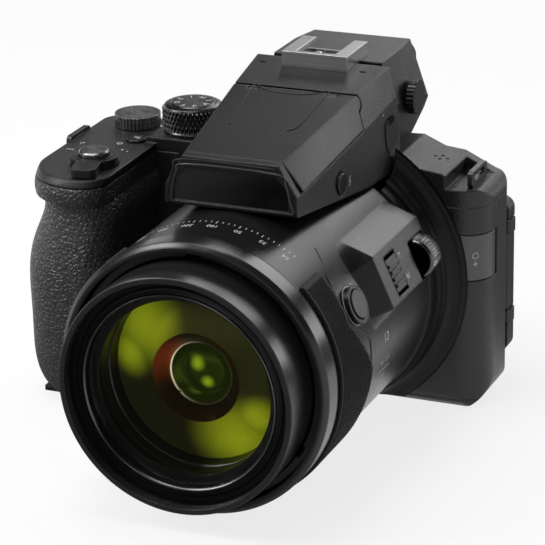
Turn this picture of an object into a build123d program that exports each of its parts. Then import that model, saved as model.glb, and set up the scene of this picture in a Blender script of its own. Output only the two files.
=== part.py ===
from build123d import *
import math
import os

os.makedirs("parts", exist_ok=True)

# Bridge camera with a long zoom lens, in millimetres.
# X runs from the hand grip (-X) to the monitor hinge (+X), the lens looks along -Y and Z is up.
# The origin is the mouth of the tripod socket, on the base, straight under the lens axis.

# Driving dimensions of the body
body_right = 53.8
body_front = -11.5
body_depth = 24.0
base_thickness = 3.0
shell_wall = 2.0
corner_radius = 10.0
cover_split = 1.0

# Driving dimensions of the hand grip
grip_widest = 86.4
grip_top_width = 80.5
grip_inner = 54.0
grip_reach = 42.5
grip_height = 75.0
plate_drop = 2.2
seam_drop = 9.5
shoulder_rise = 1.5
deck_rise = 2.0
rubber_thickness = 1.2

# Driving dimensions of the lens
axis_height = 41.0
barrel_radius = 40.3
barrel_wall = 2.3
barrel_length = 74.6
front_ring_length = 7.9
front_ring_step = 0.4
rim_reach = 12.5
rim_radius = 35.2
filter_radius = 33.5
glass_radius = 28.4

# Driving dimensions of the viewfinder hump
hump_front = 66.0
hump_rise = 15.0
lid_rear_gap = 16.3
shoe_rise = 28.3
deck_clearance = 4.3
eyecup_rear = 29.8

# Clearances and the overrun of every cut
gap = 0.3
fit_gap = 0.05
overrun = 6.0

body_rear = body_front + body_depth
grip_plate_edge = grip_height - plate_drop
seam_height = grip_height - seam_drop
shoulder_height = grip_height + shoulder_rise
dial_deck_height = grip_height + deck_rise
lens_top = axis_height + barrel_radius
front_ring_radius = barrel_radius + front_ring_step
head_low = max(lens_top, dial_deck_height + deck_clearance)
hump_top_front = head_low + hump_rise
shoe_top = head_low + shoe_rise
lens_axis = Axis((0, 0, axis_height), (0, 1, 0))
lens_section = Plane(origin=(0, 0, axis_height), x_dir=(1, 0, 0), z_dir=(0, 0, 1))


def profile(plane, points):
    """Closed flat face through the points, in the plane's own directions."""
    with BuildSketch(plane) as face:
        with BuildLine():
            Polyline(*points, close=True)
        make_face()
    return face.sketch


def lens_plane(y):
    """Plane across the lens axis that faces the front of the camera."""
    return Plane(origin=(0, y, axis_height), x_dir=(1, 0, 0), z_dir=(0, -1, 0))


def block(x_low, x_high, y_low, y_high, z_low, z_high):
    """Plain block between two corners, kept apart from any open part."""
    with BuildPart() as box:
        with BuildSketch(Plane.XY.offset(z_low)):
            with Locations(((x_low + x_high) / 2, (y_low + y_high) / 2)):
                Rectangle(x_high - x_low, y_high - y_low)
        extrude(amount=z_high - z_low)
    return box.part


def rod(plane, radius, length):
    """Round rod that stands on a plane, along the plane's normal."""
    with BuildPart() as bar:
        with BuildSketch(plane):
            Circle(radius)
        extrude(amount=length)
    return bar.part


def tube(plane, outer, inner, length):
    """Round tube that stands on a plane, along the plane's normal."""
    with BuildPart() as pipe:
        with BuildSketch(plane):
            Circle(outer)
            Circle(inner, mode=Mode.SUBTRACT)
        extrude(amount=length)
    return pipe.part


def notched_wheel(plane, radius, length, notch_count, notch_share):
    """Wheel with round notches along its rim, standing on a plane."""
    notch = radius * notch_share
    with BuildPart() as wheel:
        with BuildSketch(plane):
            Circle(radius)
            with PolarLocations(radius, notch_count):
                Circle(notch, mode=Mode.SUBTRACT)
        extrude(amount=length)
    return wheel.part


# Outer forms of the body: a main block and the swelling hand grip
round_shares = (0.11, 0.45)
block_left_inset = 16.4
block_left = grip_widest - block_left_inset
bottom_corner = 9.0
shoulder_inner_rise = 3.0
shoulder_break_drop = 0.7
shoulder_low_drop = 5.2
shoulder_end_drop = 6.8
shoulder_inner_height = shoulder_height + shoulder_inner_rise
shoulder_break_height = shoulder_height - shoulder_break_drop
shoulder_low_height = shoulder_height - shoulder_low_drop
shoulder_end_height = shoulder_height - shoulder_end_drop
shoulder_in = 33.0
shoulder_break = 39.5
shoulder_out = 49.0
hump_foot = 26.0
dial_deck_end = 57.0
rear_corner = 4.0
shoulder_round = 5.0
base_front_round = 4.2


def main_block(inset):
    """The straight part of the body, with every face moved in by the inset."""
    front = body_front + inset
    near = base_front_round * round_shares[0]
    far = base_front_round * round_shares[1]
    with BuildPart() as body:
        with BuildSketch(Plane.XY) as plan:
            with BuildLine():
                Polyline(
                    (-block_left, body_front + inset),
                    (body_right - inset, body_front + inset),
                    (body_right - inset, body_rear - inset),
                    (-block_left, body_rear - inset),
                    close=True,
                )
            make_face()
            right_corners = plan.vertices().group_by(Axis.X)[-1].sort_by(Axis.Y)
            fillet(right_corners[0], corner_radius - inset)
            fillet(plan.vertices().group_by(Axis.X)[-1].sort_by(Axis.Y)[-1], rear_corner - inset)
        extrude(amount=grip_height + overrun)
        with BuildSketch(Plane.XZ.offset(-body_rear - overrun)) as outline:
            with BuildLine():
                Polyline(
                    (-block_left, inset),
                    (body_right - inset, inset),
                    (body_right - inset, shoulder_end_height - inset),
                    (shoulder_out - inset / 2, shoulder_low_height - inset),
                    (shoulder_break - inset / 2, shoulder_break_height - inset),
                    (shoulder_in, shoulder_height - inset),
                    (hump_foot - inset, shoulder_inner_height - inset),
                    (-hump_foot, dial_deck_height - inset),
                    (-dial_deck_end + inset, dial_deck_height - inset),
                    (-dial_deck_end - shell_wall + inset, grip_height - inset),
                    (-block_left, grip_height - inset),
                    close=True,
                )
            make_face()
            corner = outline.vertices().group_by(Axis.Y)[0].sort_by(Axis.X)[-1]
            fillet(corner, bottom_corner - inset)
            fillet(outline.vertices().group_by(Axis.X)[-1].sort_by(Axis.Y)[-1], shoulder_round)
        extrude(amount=body_depth + overrun * 2, mode=Mode.INTERSECT)
        with BuildSketch(Plane.YZ.offset(-block_left - overrun)) as side:
            with BuildLine():
                Polyline(
                    (front - overrun, inset - overrun),
                    (front - overrun, inset + base_front_round),
                    (front, inset + base_front_round),
                    (front + near, inset + far),
                    (front + far, inset + near),
                    (front + base_front_round, inset),
                    (front + base_front_round, inset - overrun),
                    close=True,
                )
            make_face()
        extrude(amount=body_right + block_left + overrun * 2, mode=Mode.SUBTRACT)
    return body.part


# Each row: height, swell to the left, reach to the front and tuck of the inner side,
# as shares of the grip's height, swell, reach and tuck
grip_lower_shares = (
    (0.0, 0.40, 0.815, 1.0),
    (0.04, 0.68, 0.88, 0.6),
    (0.10, 0.92, 0.93, 0.2),
    (0.24, 1.0, 0.975, 0.0),
    (0.46, 0.93, 1.0, 0.0),
    (0.70, 0.50, 0.965, 0.0),
    (0.893, 0.06, 0.925, 0.0),
)
grip_upper_shares = (
    (0.893, 0.20, 0.985, 0.0),
    (0.94, 0.20, 1.0, 0.0),
    (1.0, 0.0, 0.96, 0.0),
)
grip_swell = grip_widest - grip_top_width
grip_tuck = 2.5
grip_outer_round = 17.0
grip_inner_round = 8.8
grip_round_share = 0.6
grip_rear_round = 7.0


def grip_form(inset):
    """The hand grip from base to top plate, with its walls moved in by the inset."""
    with BuildPart() as grip:
        for shares in (grip_lower_shares, grip_upper_shares):
            for level_share, swell_share, reach_share, tuck_share in shares:
                left = -grip_top_width - grip_swell * swell_share + inset
                front = body_front - grip_reach * reach_share + inset
                inner = -grip_inner - inset + grip_tuck * tuck_share
                with BuildSketch(Plane.XY.offset(grip_height * level_share)) as level:
                    with BuildLine():
                        Polyline(
                            (left, body_rear - inset),
                            (left, front),
                            (inner, front),
                            (inner, body_rear - inset),
                            close=True,
                        )
                    make_face()
                    outer_round = grip_outer_round + grip_swell * swell_share * grip_round_share
                    fillet(level.vertices().group_by(Axis.Y)[0].sort_by(Axis.X)[0], outer_round - inset)
                    fillet(
                        level.vertices().group_by(Axis.Y)[0].sort_by(Axis.X)[-1],
                        grip_inner_round - inset,
                    )
                    fillet(
                        level.vertices().group_by(Axis.Y)[-1].sort_by(Axis.X)[0],
                        grip_rear_round - inset,
                    )
            loft()
    return grip.part


def body_form(block_inset, grip_inset, grip_ceiling):
    """Main block and grip together, with the grip cut off at its ceiling."""
    with BuildPart() as form:
        add(grip_form(grip_inset))
        add(
            block(-grip_widest * 2, 0, body_front * 6, body_rear * 2, grip_ceiling, grip_height * 2),
            mode=Mode.SUBTRACT,
        )
        add(main_block(block_inset))
    return form.part


block_form = main_block(0)
outer_form = body_form(0, 0, grip_height)
core_form = body_form(0, rubber_thickness, grip_height)
cavity_form = body_form(shell_wall, rubber_thickness + shell_wall, grip_height - shell_wall)

# Regions that the covers share out among themselves
far_x = grip_widest + overrun
far_front = body_front - grip_reach - overrun
far_rear = body_rear + overrun
plate_step = 46.0
rubber_rear = 6.0
spigot_inset = 4.3
spigot_radius = barrel_radius - spigot_inset
lens_hole_radius = spigot_radius + fit_gap


def cover_zone(y_low, y_high):
    """Space between the base plate and the top cover, from one depth to another."""
    with BuildPart() as zone:
        add(block(-far_x, -plate_step, y_low, y_high, base_thickness, grip_plate_edge))
        add(block(-plate_step, far_x, y_low, y_high, base_thickness, seam_height))
    return zone.part


lens_hole = rod(lens_plane(body_front + shell_wall * 2), lens_hole_radius, shell_wall * 4)

# Connector door on the front corner: a hinged rubber flap in a shallow pocket
flap_thickness = 1.2
flap_drop = 8.9
flap_height = 14.4
flap_reach = 8.0
flap_pin_inset = 1.5
flap_pin_setback = 9.6
flap_high = seam_height - flap_drop
flap_low = flap_high - flap_height
flap_left = body_right - flap_reach
flap_pin_x = body_right - flap_pin_inset
flap_pin_y = body_front + flap_pin_setback
flap_pin_radius = 0.7
flap_knuckle = 1.15
flap_pocket = flap_thickness + gap
flap_swing_room = flap_pin_inset + gap * 2


def flap_zone(grow, depth):
    """The strip of body skin that the connector flap covers, grown by a gap."""
    with BuildPart() as zone:
        add(block_form)
        add(main_block(depth), mode=Mode.SUBTRACT)
        add(
            block(
                flap_left - grow,
                far_x,
                body_front - overrun,
                flap_pin_y,
                flap_low - grow,
                flap_high + grow,
            ),
            mode=Mode.INTERSECT,
        )
    return zone.part


flap_axis_plane = Plane(origin=(flap_pin_x, flap_pin_y, flap_low), x_dir=(1, 0, 0), z_dir=(0, 0, 1))
flap_pin_overlap = 1.6

# Places of the screws that hold the base plate, and the bosses that take them
screw_radius = 1.0
screw_head_radius = 1.9
screw_head_height = 1.1
screw_length = 6.0
boss_radius = 3.0
boss_height = 7.0
front_screw_inset = 4.4
rear_screw_inset = 4.6
front_screw_side = 7.5
rear_screw_side = 14.0
rear_screw_step = 16.0
front_screws = (
    (body_right - front_screw_side, body_front + front_screw_inset),
    (-plate_step, body_front + front_screw_inset),
)
rear_screws = (
    (body_right - rear_screw_side, body_rear - rear_screw_inset),
    (-plate_step + rear_screw_step, body_rear - rear_screw_inset),
)


def screw_bosses(places):
    """Blind bosses for the base screws, standing on the base plate."""
    with BuildPart() as bosses:
        with BuildSketch(Plane.XY.offset(base_thickness)):
            with Locations(*places):
                Circle(boss_radius)
                Circle(screw_radius + fit_gap, mode=Mode.SUBTRACT)
        extrude(amount=boss_height)
    return bosses.part


# Front cover, with the core of the grip
with BuildPart() as front_cover:
    add(core_form)
    add(cover_zone(far_front, cover_split), mode=Mode.INTERSECT)
    add(cavity_form, mode=Mode.SUBTRACT)
    add(lens_hole, mode=Mode.SUBTRACT)
    add(screw_bosses(front_screws))
    add(flap_zone(gap, flap_pocket), mode=Mode.SUBTRACT)
    add(
        rod(flap_axis_plane.offset(-gap), flap_pin_inset + gap, flap_high - flap_low + gap * 2),
        mode=Mode.SUBTRACT,
    )
    add(
        block(
            flap_pin_x,
            far_x,
            flap_pin_y,
            flap_pin_y + flap_swing_room,
            flap_low - gap,
            flap_high + gap,
        ),
        mode=Mode.SUBTRACT,
    )
    add(
        rod(
            flap_axis_plane.offset(-flap_pin_overlap - gap),
            flap_pin_radius + fit_gap,
            flap_high - flap_low + (flap_pin_overlap + gap) * 2,
        ),
        mode=Mode.SUBTRACT,
    )
front_cover.part.label = "front_cover"
export_step(front_cover.part, "parts/front_cover.step")

# Monitor hinge: fixed ears on the rear cover, with the swing axis in the middle of the panel
panel_thickness = 6.5
panel_gap = 0.6
panel_inset = 0.5
panel_right = body_right - panel_inset
panel_width = 77.8
panel_low = 10.2
panel_high = 60.4
hinge_inset = 1.9
hinge_height = 25.0
hinge_rise = 2.0
hinge_middle = (panel_low + panel_high) / 2 + hinge_rise
ear_height = 4.0
ear_reach = 2.8
hinge_pin_radius = 1.2
panel_front = body_rear + panel_gap
panel_rear = panel_front + panel_thickness
swing_x = panel_right - hinge_inset
swing_y = (panel_front + panel_rear) / 2
arm_low = hinge_middle - hinge_height / 2
arm_high = hinge_middle + hinge_height / 2
swing_plane = Plane(origin=(swing_x, swing_y, 0), x_dir=(1, 0, 0), z_dir=(0, 0, 1))


def hinge_ear(z_low):
    """One fixed ear: a block from the rear cover, rounded about the swing axis."""
    with BuildPart() as ear:
        add(rod(swing_plane.offset(z_low), ear_reach, ear_height))
        add(
            block(
                swing_x - ear_reach,
                swing_x + hinge_inset,
                body_rear - fit_gap,
                swing_y,
                z_low,
                z_low + ear_height,
            ),
        )
        add(
            rod(swing_plane.offset(z_low - overrun), hinge_pin_radius + fit_gap, ear_height + overrun * 2),
            mode=Mode.SUBTRACT,
        )
    return ear.part


# Rear controls: each place is (x, z) on the rear face, with the button's radius.
# They stand beside the monitor, at levels that are shares of the grip's height.
selector_side = 16.5
selector_level = 0.44
play_level = 0.68
movie_level = 0.808
selector_x = panel_right - panel_width - selector_side
selector_z = grip_height * selector_level
play_z = grip_height * play_level
movie_z = grip_height * movie_level
selector_radius = 10.0
selector_inner = 5.2
ok_radius = 4.6
button_proud = 0.9
button_depth = 3.2
small_button_radius = 2.9
display_side = 15.0
display_step = 1.0
lower_side = 8.0
lower_drop = 17.5
ae_lock_side = 19.0
ae_lock_lift = 1.4
ae_lock_radius = 3.8
movie_side = 3.0
movie_radius = 3.4
rear_buttons = {
    "play_button": (selector_x, play_z, small_button_radius),
    "display_button": (selector_x - display_side, play_z - display_step, small_button_radius),
    "menu_button": (selector_x - lower_side, selector_z - lower_drop, small_button_radius),
    "delete_button": (selector_x + lower_side, selector_z - lower_drop, small_button_radius),
    "ae_lock_button": (selector_x - ae_lock_side, movie_z + ae_lock_lift, ae_lock_radius),
    "movie_button": (selector_x - movie_side, movie_z, movie_radius),
}


def rear_plane(x, z):
    """Plane on the rear face, looking out of the back of the camera."""
    return Plane(origin=(x, body_rear, z), x_dir=(-1, 0, 0), z_dir=(0, 1, 0))


# Rear cover
with BuildPart() as rear_skin:
    add(outer_form)
    add(block(-far_x, far_x, rubber_rear + gap, far_rear, 0, grip_height * 2), mode=Mode.INTERSECT)

with BuildPart() as rear_cover:
    add(core_form)
    add(block(-far_x, far_x, far_front, rubber_rear + gap, 0, grip_height * 2), mode=Mode.INTERSECT)
    add(rear_skin.part)
    add(cover_zone(cover_split, far_rear), mode=Mode.INTERSECT)
    add(cavity_form, mode=Mode.SUBTRACT)
    add(screw_bosses(rear_screws))
    for x, z, radius in rear_buttons.values():
        add(rod(rear_plane(x, z).offset(-overrun), radius + gap, overrun * 2), mode=Mode.SUBTRACT)
    add(
        rod(rear_plane(selector_x, selector_z).offset(-overrun), selector_inner + fit_gap, overrun * 2),
        mode=Mode.SUBTRACT,
    )
    add(hinge_ear(arm_low - gap - ear_height))
    add(hinge_ear(arm_high + gap))
rear_cover.part.label = "rear_cover"
export_step(rear_cover.part, "parts/rear_cover.step")

for name, (x, z, radius) in rear_buttons.items():
    with BuildPart() as rear_button:
        add(rod(rear_plane(x, z).offset(-button_depth), radius, button_depth + button_proud))
        top_edge = rear_button.edges().filter_by(GeomType.CIRCLE).sort_by(Axis.Y)[-1]
        fillet(top_edge, button_proud / 2)
    rear_button.part.label = name
    export_step(rear_button.part, "parts/" + name + ".step")

# Rotary selector: a ring that turns on its hub, with the OK button in the middle
selector_proud = 1.6
selector_notches = 24
selector_notch_share = 0.05
with BuildPart() as selector_dial:
    add(
        notched_wheel(
            rear_plane(selector_x, selector_z).offset(gap),
            selector_radius,
            selector_proud - gap,
            selector_notches,
            selector_notch_share,
        ),
    )
    add(
        rod(
            rear_plane(selector_x, selector_z).offset(-button_depth),
            selector_inner,
            button_depth + gap + fit_gap,
        ),
    )
    add(
        rod(rear_plane(selector_x, selector_z).offset(-overrun), ok_radius + gap, overrun * 2),
        mode=Mode.SUBTRACT,
    )
selector_dial.part.label = "selector_dial"
export_step(selector_dial.part, "parts/selector_dial.step")

with BuildPart() as ok_button:
    add(
        rod(
            rear_plane(selector_x, selector_z).offset(-button_depth),
            ok_radius,
            button_depth + selector_proud + fit_gap,
        ),
    )
    top_edge = ok_button.edges().filter_by(GeomType.CIRCLE).sort_by(Axis.Y)[-1]
    fillet(top_edge, button_proud / 2)
ok_button.part.label = "ok_button"
export_step(ok_button.part, "parts/ok_button.step")

# Connector flap on its vertical pin
with BuildPart() as connector_cover:
    add(flap_zone(0, flap_thickness))
    add(rod(flap_axis_plane, flap_knuckle, flap_high - flap_low))
    add(
        rod(
            flap_axis_plane.offset(-flap_pin_overlap),
            flap_pin_radius,
            flap_high - flap_low + flap_pin_overlap * 2,
        ),
    )
connector_cover.part.label = "connector_cover"
export_step(connector_cover.part, "parts/connector_cover.step")

# Strap eyelets: a notch in each shoulder and a metal loop that stands in it
notch_left = 41.0
notch_right = 50.5
notch_length = 20.0
notch_rear = body_front + notch_length
eyelet_x = 47.6
eyelet_thickness = 1.6
eyelet_length = 14.0
eyelet_height = 4.9
eyelet_setback = 3.5
eyelet_front = body_front + eyelet_setback
notch_depth = 5.6
notch_floor = shoulder_height - notch_depth
grip_eyelet_x = grip_top_width + gap
grip_eyelet_sink = 1.8
grip_eyelet_z = grip_plate_edge - grip_eyelet_sink
eyelet_slot_length = 9.0
eyelet_slot_height = 2.2
grip_eyelet_reach = 5.5
grip_eyelet_y = body_front - grip_eyelet_reach
eyelet_pocket = block(
    -grip_widest * 2,
    -grip_eyelet_x,
    grip_eyelet_y - gap,
    grip_eyelet_y + eyelet_length + gap,
    grip_plate_edge - shell_wall,
    grip_height * 2,
)

# Rubber skin round the grip, bonded to the front cover
with BuildPart() as grip_rubber:
    add(grip_form(0))
    add(grip_form(rubber_thickness), mode=Mode.SUBTRACT)
    add(
        block(-far_x, far_x, far_front, rubber_rear, base_thickness + gap, grip_plate_edge - gap),
        mode=Mode.INTERSECT,
    )
    add(block_form, mode=Mode.SUBTRACT)
    add(eyelet_pocket, mode=Mode.SUBTRACT)
grip_rubber.part.label = "grip_rubber"
export_step(grip_rubber.part, "parts/grip_rubber.step")

# Top controls, placed on the grip's plate
shutter_x = -63.6
shutter_reach = 24.0
shutter_y = body_front - shutter_reach
shutter_radius = 4.7
shutter_proud = 4.6
shutter_travel = 1.0
collar_radius = 5.6
collar_height = 2.9
lever_radius = 7.3
lever_recess = 0.8
lever_height = 2.6
lever_tab_reach = 15.2
lever_tab_width = 7.6
lever_tab_angle = 12.0
top_button_radius = 3.2
fn_x = -61.0
fn_setback = 1.1
fn_y = body_front + fn_setback
power_x = -30.5
power_setback = 14.5
power_y = body_front + power_setback
command_x = -67.4
command_setback = 15.5
command_y = body_front + command_setback
command_radius = 7.3
command_height = 4.2
dial_shaft_radius = 2.0
mode_x = -46.0
mode_setback = 11.0
mode_y = body_front + mode_setback
mode_radius = 9.4
mode_height = 9.3
mode_shaft_radius = 3.0
top_stem = 2.2
top_depth = shell_wall + top_stem
shutter_plane = Plane(origin=(shutter_x, shutter_y, grip_height), x_dir=(1, 0, 0), z_dir=(0, 0, 1))
fn_plane = Plane(origin=(fn_x, fn_y, grip_height), x_dir=(1, 0, 0), z_dir=(0, 0, 1))
power_plane = Plane(origin=(power_x, power_y, dial_deck_height), x_dir=(1, 0, 0), z_dir=(0, 0, 1))
command_plane = Plane(origin=(command_x, command_y, grip_height), x_dir=(1, 0, 0), z_dir=(0, 0, 1))
mode_plane = Plane(origin=(mode_x, mode_y, dial_deck_height), x_dir=(1, 0, 0), z_dir=(0, 0, 1))

# Top cover: grip plate, dial deck and right shoulder in one moulding
with BuildPart() as top_zone:
    add(block(-far_x, -plate_step, far_front, far_rear, grip_plate_edge, grip_height * 2))
    add(block(-plate_step, far_x, far_front, far_rear, seam_height, grip_height * 2))

with BuildPart() as notch_tub:
    add(block_form)
    add(
        block(
            notch_left - shell_wall,
            notch_right + shell_wall,
            body_front,
            notch_rear + shell_wall,
            notch_floor - shell_wall,
            grip_height * 2,
        ),
        mode=Mode.INTERSECT,
    )

with BuildPart() as top_cover:
    add(outer_form)
    add(top_zone.part, mode=Mode.INTERSECT)
    add(cavity_form, mode=Mode.SUBTRACT)
    add(lens_hole, mode=Mode.SUBTRACT)
    add(notch_tub.part)
    add(
        block(notch_left, notch_right, body_front - overrun, notch_rear, notch_floor, grip_height * 2),
        mode=Mode.SUBTRACT,
    )
    add(eyelet_pocket, mode=Mode.SUBTRACT)
    add(rod(shutter_plane.offset(-lever_recess), lever_radius + gap, overrun), mode=Mode.SUBTRACT)
    add(rod(shutter_plane.offset(-shell_wall), collar_radius, shell_wall + collar_height))
    add(rod(shutter_plane.offset(-overrun), shutter_radius + gap, overrun * 3), mode=Mode.SUBTRACT)
    add(rod(fn_plane.offset(-overrun), top_button_radius + gap, overrun * 2), mode=Mode.SUBTRACT)
    add(rod(power_plane.offset(-overrun), top_button_radius + gap, overrun * 2), mode=Mode.SUBTRACT)
    add(rod(command_plane.offset(-overrun), dial_shaft_radius + fit_gap, overrun * 2), mode=Mode.SUBTRACT)
    add(rod(mode_plane.offset(-overrun), mode_shaft_radius + fit_gap, overrun * 2), mode=Mode.SUBTRACT)
top_cover.part.label = "top_cover"
export_step(top_cover.part, "parts/top_cover.step")


def eyelet_plate(x_low, y_low, z_low):
    """Upright loop of sheet metal with a slot for the strap."""
    side = Plane(origin=(x_low, y_low, z_low), x_dir=(0, 1, 0), z_dir=(1, 0, 0))
    with BuildPart() as plate:
        with BuildSketch(side) as loop:
            with Locations((eyelet_length / 2, eyelet_height / 2)):
                RectangleRounded(eyelet_length, eyelet_height, eyelet_thickness)
            with Locations((eyelet_length / 2, eyelet_height - eyelet_slot_height)):
                SlotOverall(eyelet_slot_length, eyelet_slot_height, mode=Mode.SUBTRACT)
        extrude(amount=eyelet_thickness)
    return plate.part


with BuildPart() as strap_eyelets:
    add(eyelet_plate(eyelet_x - eyelet_thickness / 2, eyelet_front, notch_floor))
    add(eyelet_plate(-grip_eyelet_x - eyelet_thickness, grip_eyelet_y, grip_eyelet_z))
strap_eyelets.part.label = "strap_eyelets"
export_step(strap_eyelets.part, "parts/strap_eyelets.step")

# Shutter button inside the zoom lever's collar
with BuildPart() as shutter_button:
    add(rod(shutter_plane.offset(-top_depth), shutter_radius, top_depth + shutter_proud))
    top_edge = shutter_button.edges().filter_by(GeomType.CIRCLE).sort_by(Axis.Z)[-1]
    chamfer(top_edge, shutter_travel / 2)
shutter_button.part.label = "shutter_button"
export_step(shutter_button.part, "parts/shutter_button.step")

with BuildPart() as zoom_lever:
    add(
        tube(
            shutter_plane.offset(fit_gap * 2 - lever_recess),
            lever_radius,
            collar_radius + fit_gap,
            lever_height + lever_recess,
        )
    )
    tab_plane = shutter_plane.rotated((0, 0, lever_tab_angle)).offset(gap)
    with BuildSketch(tab_plane):
        with Locations((0, -(lever_radius + lever_tab_reach) / 2 + shell_wall / 2)):
            RectangleRounded(lever_tab_width, lever_tab_reach - lever_radius + shell_wall, shell_wall)
    extrude(amount=lever_height)
    add(rod(shutter_plane.offset(-overrun), collar_radius + fit_gap, overrun * 3), mode=Mode.SUBTRACT)
zoom_lever.part.label = "zoom_lever"
export_step(zoom_lever.part, "parts/zoom_lever.step")

for name, plane in (("fn_button", fn_plane), ("power_button", power_plane)):
    with BuildPart() as top_button:
        add(rod(plane.offset(-top_depth), top_button_radius, top_depth + button_proud))
        top_edge = top_button.edges().filter_by(GeomType.CIRCLE).sort_by(Axis.Z)[-1]
        fillet(top_edge, button_proud / 2)
    top_button.part.label = name
    export_step(top_button.part, "parts/" + name + ".step")

dial_notch_share = 0.045
command_notches = 36
mode_notches = 44
with BuildPart() as command_dial:
    add(
        notched_wheel(
            command_plane.offset(gap),
            command_radius,
            command_height - gap,
            command_notches,
            dial_notch_share,
        ),
    )
    top_edge = command_dial.edges().group_by(Axis.Z)[-1]
    add(rod(command_plane.offset(-top_depth), dial_shaft_radius, top_depth + gap + fit_gap))
command_dial.part.label = "command_dial"
export_step(command_dial.part, "parts/command_dial.step")

mode_cap_height = 2.4
with BuildPart() as mode_dial:
    add(
        notched_wheel(
            mode_plane.offset(gap),
            mode_radius,
            mode_height - mode_cap_height - gap,
            mode_notches,
            dial_notch_share,
        ),
    )
    add(rod(mode_plane.offset(mode_height - mode_cap_height), mode_radius, mode_cap_height))
    top_edge = mode_dial.edges().filter_by(GeomType.CIRCLE).sort_by(Axis.Z)[-1]
    chamfer(top_edge, mode_cap_height / 3)
    add(rod(mode_plane.offset(-top_depth), mode_shaft_radius, top_depth + gap + fit_gap))
mode_dial.part.label = "mode_dial"
export_step(mode_dial.part, "parts/mode_dial.step")

# Battery door in the grip's foot: swings down on a pin along Y
door_right = 59.5
door_left = 81.0
door_reach = 30.5
door_front = body_front - door_reach
door_rear_inset = 7.5
door_rear = body_rear - door_rear_inset
door_thickness = 1.7
door_knuckle = 1.5
door_pin_radius = 0.75
door_pin_overlap = 1.8
latch_length = 6.0
latch_width = 8.0
latch_travel = 2.5
latch_thickness = 0.9
latch_inset = 3.0
latch_left = door_left - latch_inset
door_pin_plane = Plane(origin=(-door_right, door_front, door_knuckle), x_dir=(1, 0, 0), z_dir=(0, 1, 0))
door_length = door_rear - door_front
latch_middle = (door_front + door_rear) / 2

# Tripod socket: quarter-inch thread in a metal insert
socket_radius = 3.175
socket_depth = 8.0
socket_outer = 5.5
socket_flange = 8.0
socket_flange_height = 1.5
socket_height = 9.5

with BuildPart() as base_plate:
    add(outer_form)
    add(block(-far_x, far_x, far_front, far_rear, 0, base_thickness), mode=Mode.INTERSECT)
    add(
        block(
            -door_left - gap,
            -door_right,
            door_front - gap,
            door_rear + gap,
            -overrun,
            base_thickness + overrun,
        ),
        mode=Mode.SUBTRACT,
    )
    add(rod(door_pin_plane.offset(-gap), door_knuckle + gap, door_length + gap * 2), mode=Mode.SUBTRACT)
    add(
        block(
            -door_right,
            -door_right + door_knuckle + gap,
            door_front - gap,
            door_rear + gap,
            -overrun,
            door_knuckle,
        ),
        mode=Mode.SUBTRACT,
    )
    add(
        rod(
            door_pin_plane.offset(-door_pin_overlap - gap),
            door_pin_radius + fit_gap,
            door_length + (door_pin_overlap + gap) * 2,
        ),
        mode=Mode.SUBTRACT,
    )
    add(rod(Plane.XY.offset(-overrun), socket_outer, overrun * 2), mode=Mode.SUBTRACT)
    add(
        rod(Plane.XY.offset(base_thickness - socket_flange_height), socket_flange, overrun),
        mode=Mode.SUBTRACT,
    )
    for x, y in front_screws + rear_screws:
        place = Plane(origin=(x, y, 0), x_dir=(1, 0, 0), z_dir=(0, 0, 1))
        add(rod(place.offset(-overrun), screw_radius + fit_gap, overrun * 2), mode=Mode.SUBTRACT)
        add(
            rod(place.offset(-overrun), screw_head_radius + fit_gap, overrun + screw_head_height + gap),
            mode=Mode.SUBTRACT,
        )
base_plate.part.label = "base_plate"
export_step(base_plate.part, "parts/base_plate.step")

with BuildPart() as tripod_socket:
    with BuildSketch(Plane.XY):
        Circle(socket_outer)
    extrude(amount=socket_height)
    with BuildSketch(Plane.XY.offset(base_thickness - socket_flange_height)):
        Circle(socket_flange)
    extrude(amount=socket_flange_height)
    with BuildSketch(Plane.XY):
        Circle(socket_radius)
    extrude(amount=socket_depth, mode=Mode.SUBTRACT)
tripod_socket.part.label = "tripod_socket"
export_step(tripod_socket.part, "parts/tripod_socket.step")

with BuildPart() as body_screws:
    for x, y in front_screws + rear_screws:
        place = Plane(origin=(x, y, gap), x_dir=(1, 0, 0), z_dir=(0, 0, 1))
        with BuildSketch(place):
            Circle(screw_head_radius)
        extrude(amount=screw_head_height)
        with BuildSketch(place):
            Circle(screw_radius)
        extrude(amount=screw_length)
        with BuildSketch(place):
            Rectangle(screw_radius * 2, screw_radius / 3)
            Rectangle(screw_radius / 3, screw_radius * 2)
        extrude(amount=screw_head_height / 2, mode=Mode.SUBTRACT)
body_screws.part.label = "body_screws"
export_step(body_screws.part, "parts/body_screws.step")

# Battery door with its sliding latch
with BuildPart() as battery_door:
    add(block(-door_left, -door_right, door_front, door_rear, 0, door_thickness))
    add(rod(door_pin_plane, door_knuckle, door_length))
    add(rod(door_pin_plane.offset(-door_pin_overlap), door_pin_radius, door_length + door_pin_overlap * 2))
    add(
        block(
            -latch_left - gap,
            -latch_left + latch_length + latch_travel + gap,
            latch_middle - latch_width / 2 - gap,
            latch_middle + latch_width / 2 + gap,
            -overrun,
            latch_thickness + fit_gap,
        ),
        mode=Mode.SUBTRACT,
    )
battery_door.part.label = "battery_door"
export_step(battery_door.part, "parts/battery_door.step")

latch_groove = 0.4
latch_grooves = 3
with BuildPart() as battery_latch:
    add(
        block(
            -latch_left,
            -latch_left + latch_length,
            latch_middle - latch_width / 2,
            latch_middle + latch_width / 2,
            fit_gap,
            latch_thickness,
        )
    )
    for step in range(latch_grooves):
        groove = -latch_left + latch_length * (step + 1) / (latch_grooves + 1)
        add(
            block(
                groove - latch_groove / 2,
                groove + latch_groove / 2,
                latch_middle - latch_width / 2 + latch_groove,
                latch_middle + latch_width / 2 - latch_groove,
                0,
                fit_gap + latch_groove,
            ),
            mode=Mode.SUBTRACT,
        )
battery_latch.part.label = "battery_latch"
export_step(battery_latch.part, "parts/battery_latch.step")

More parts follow.
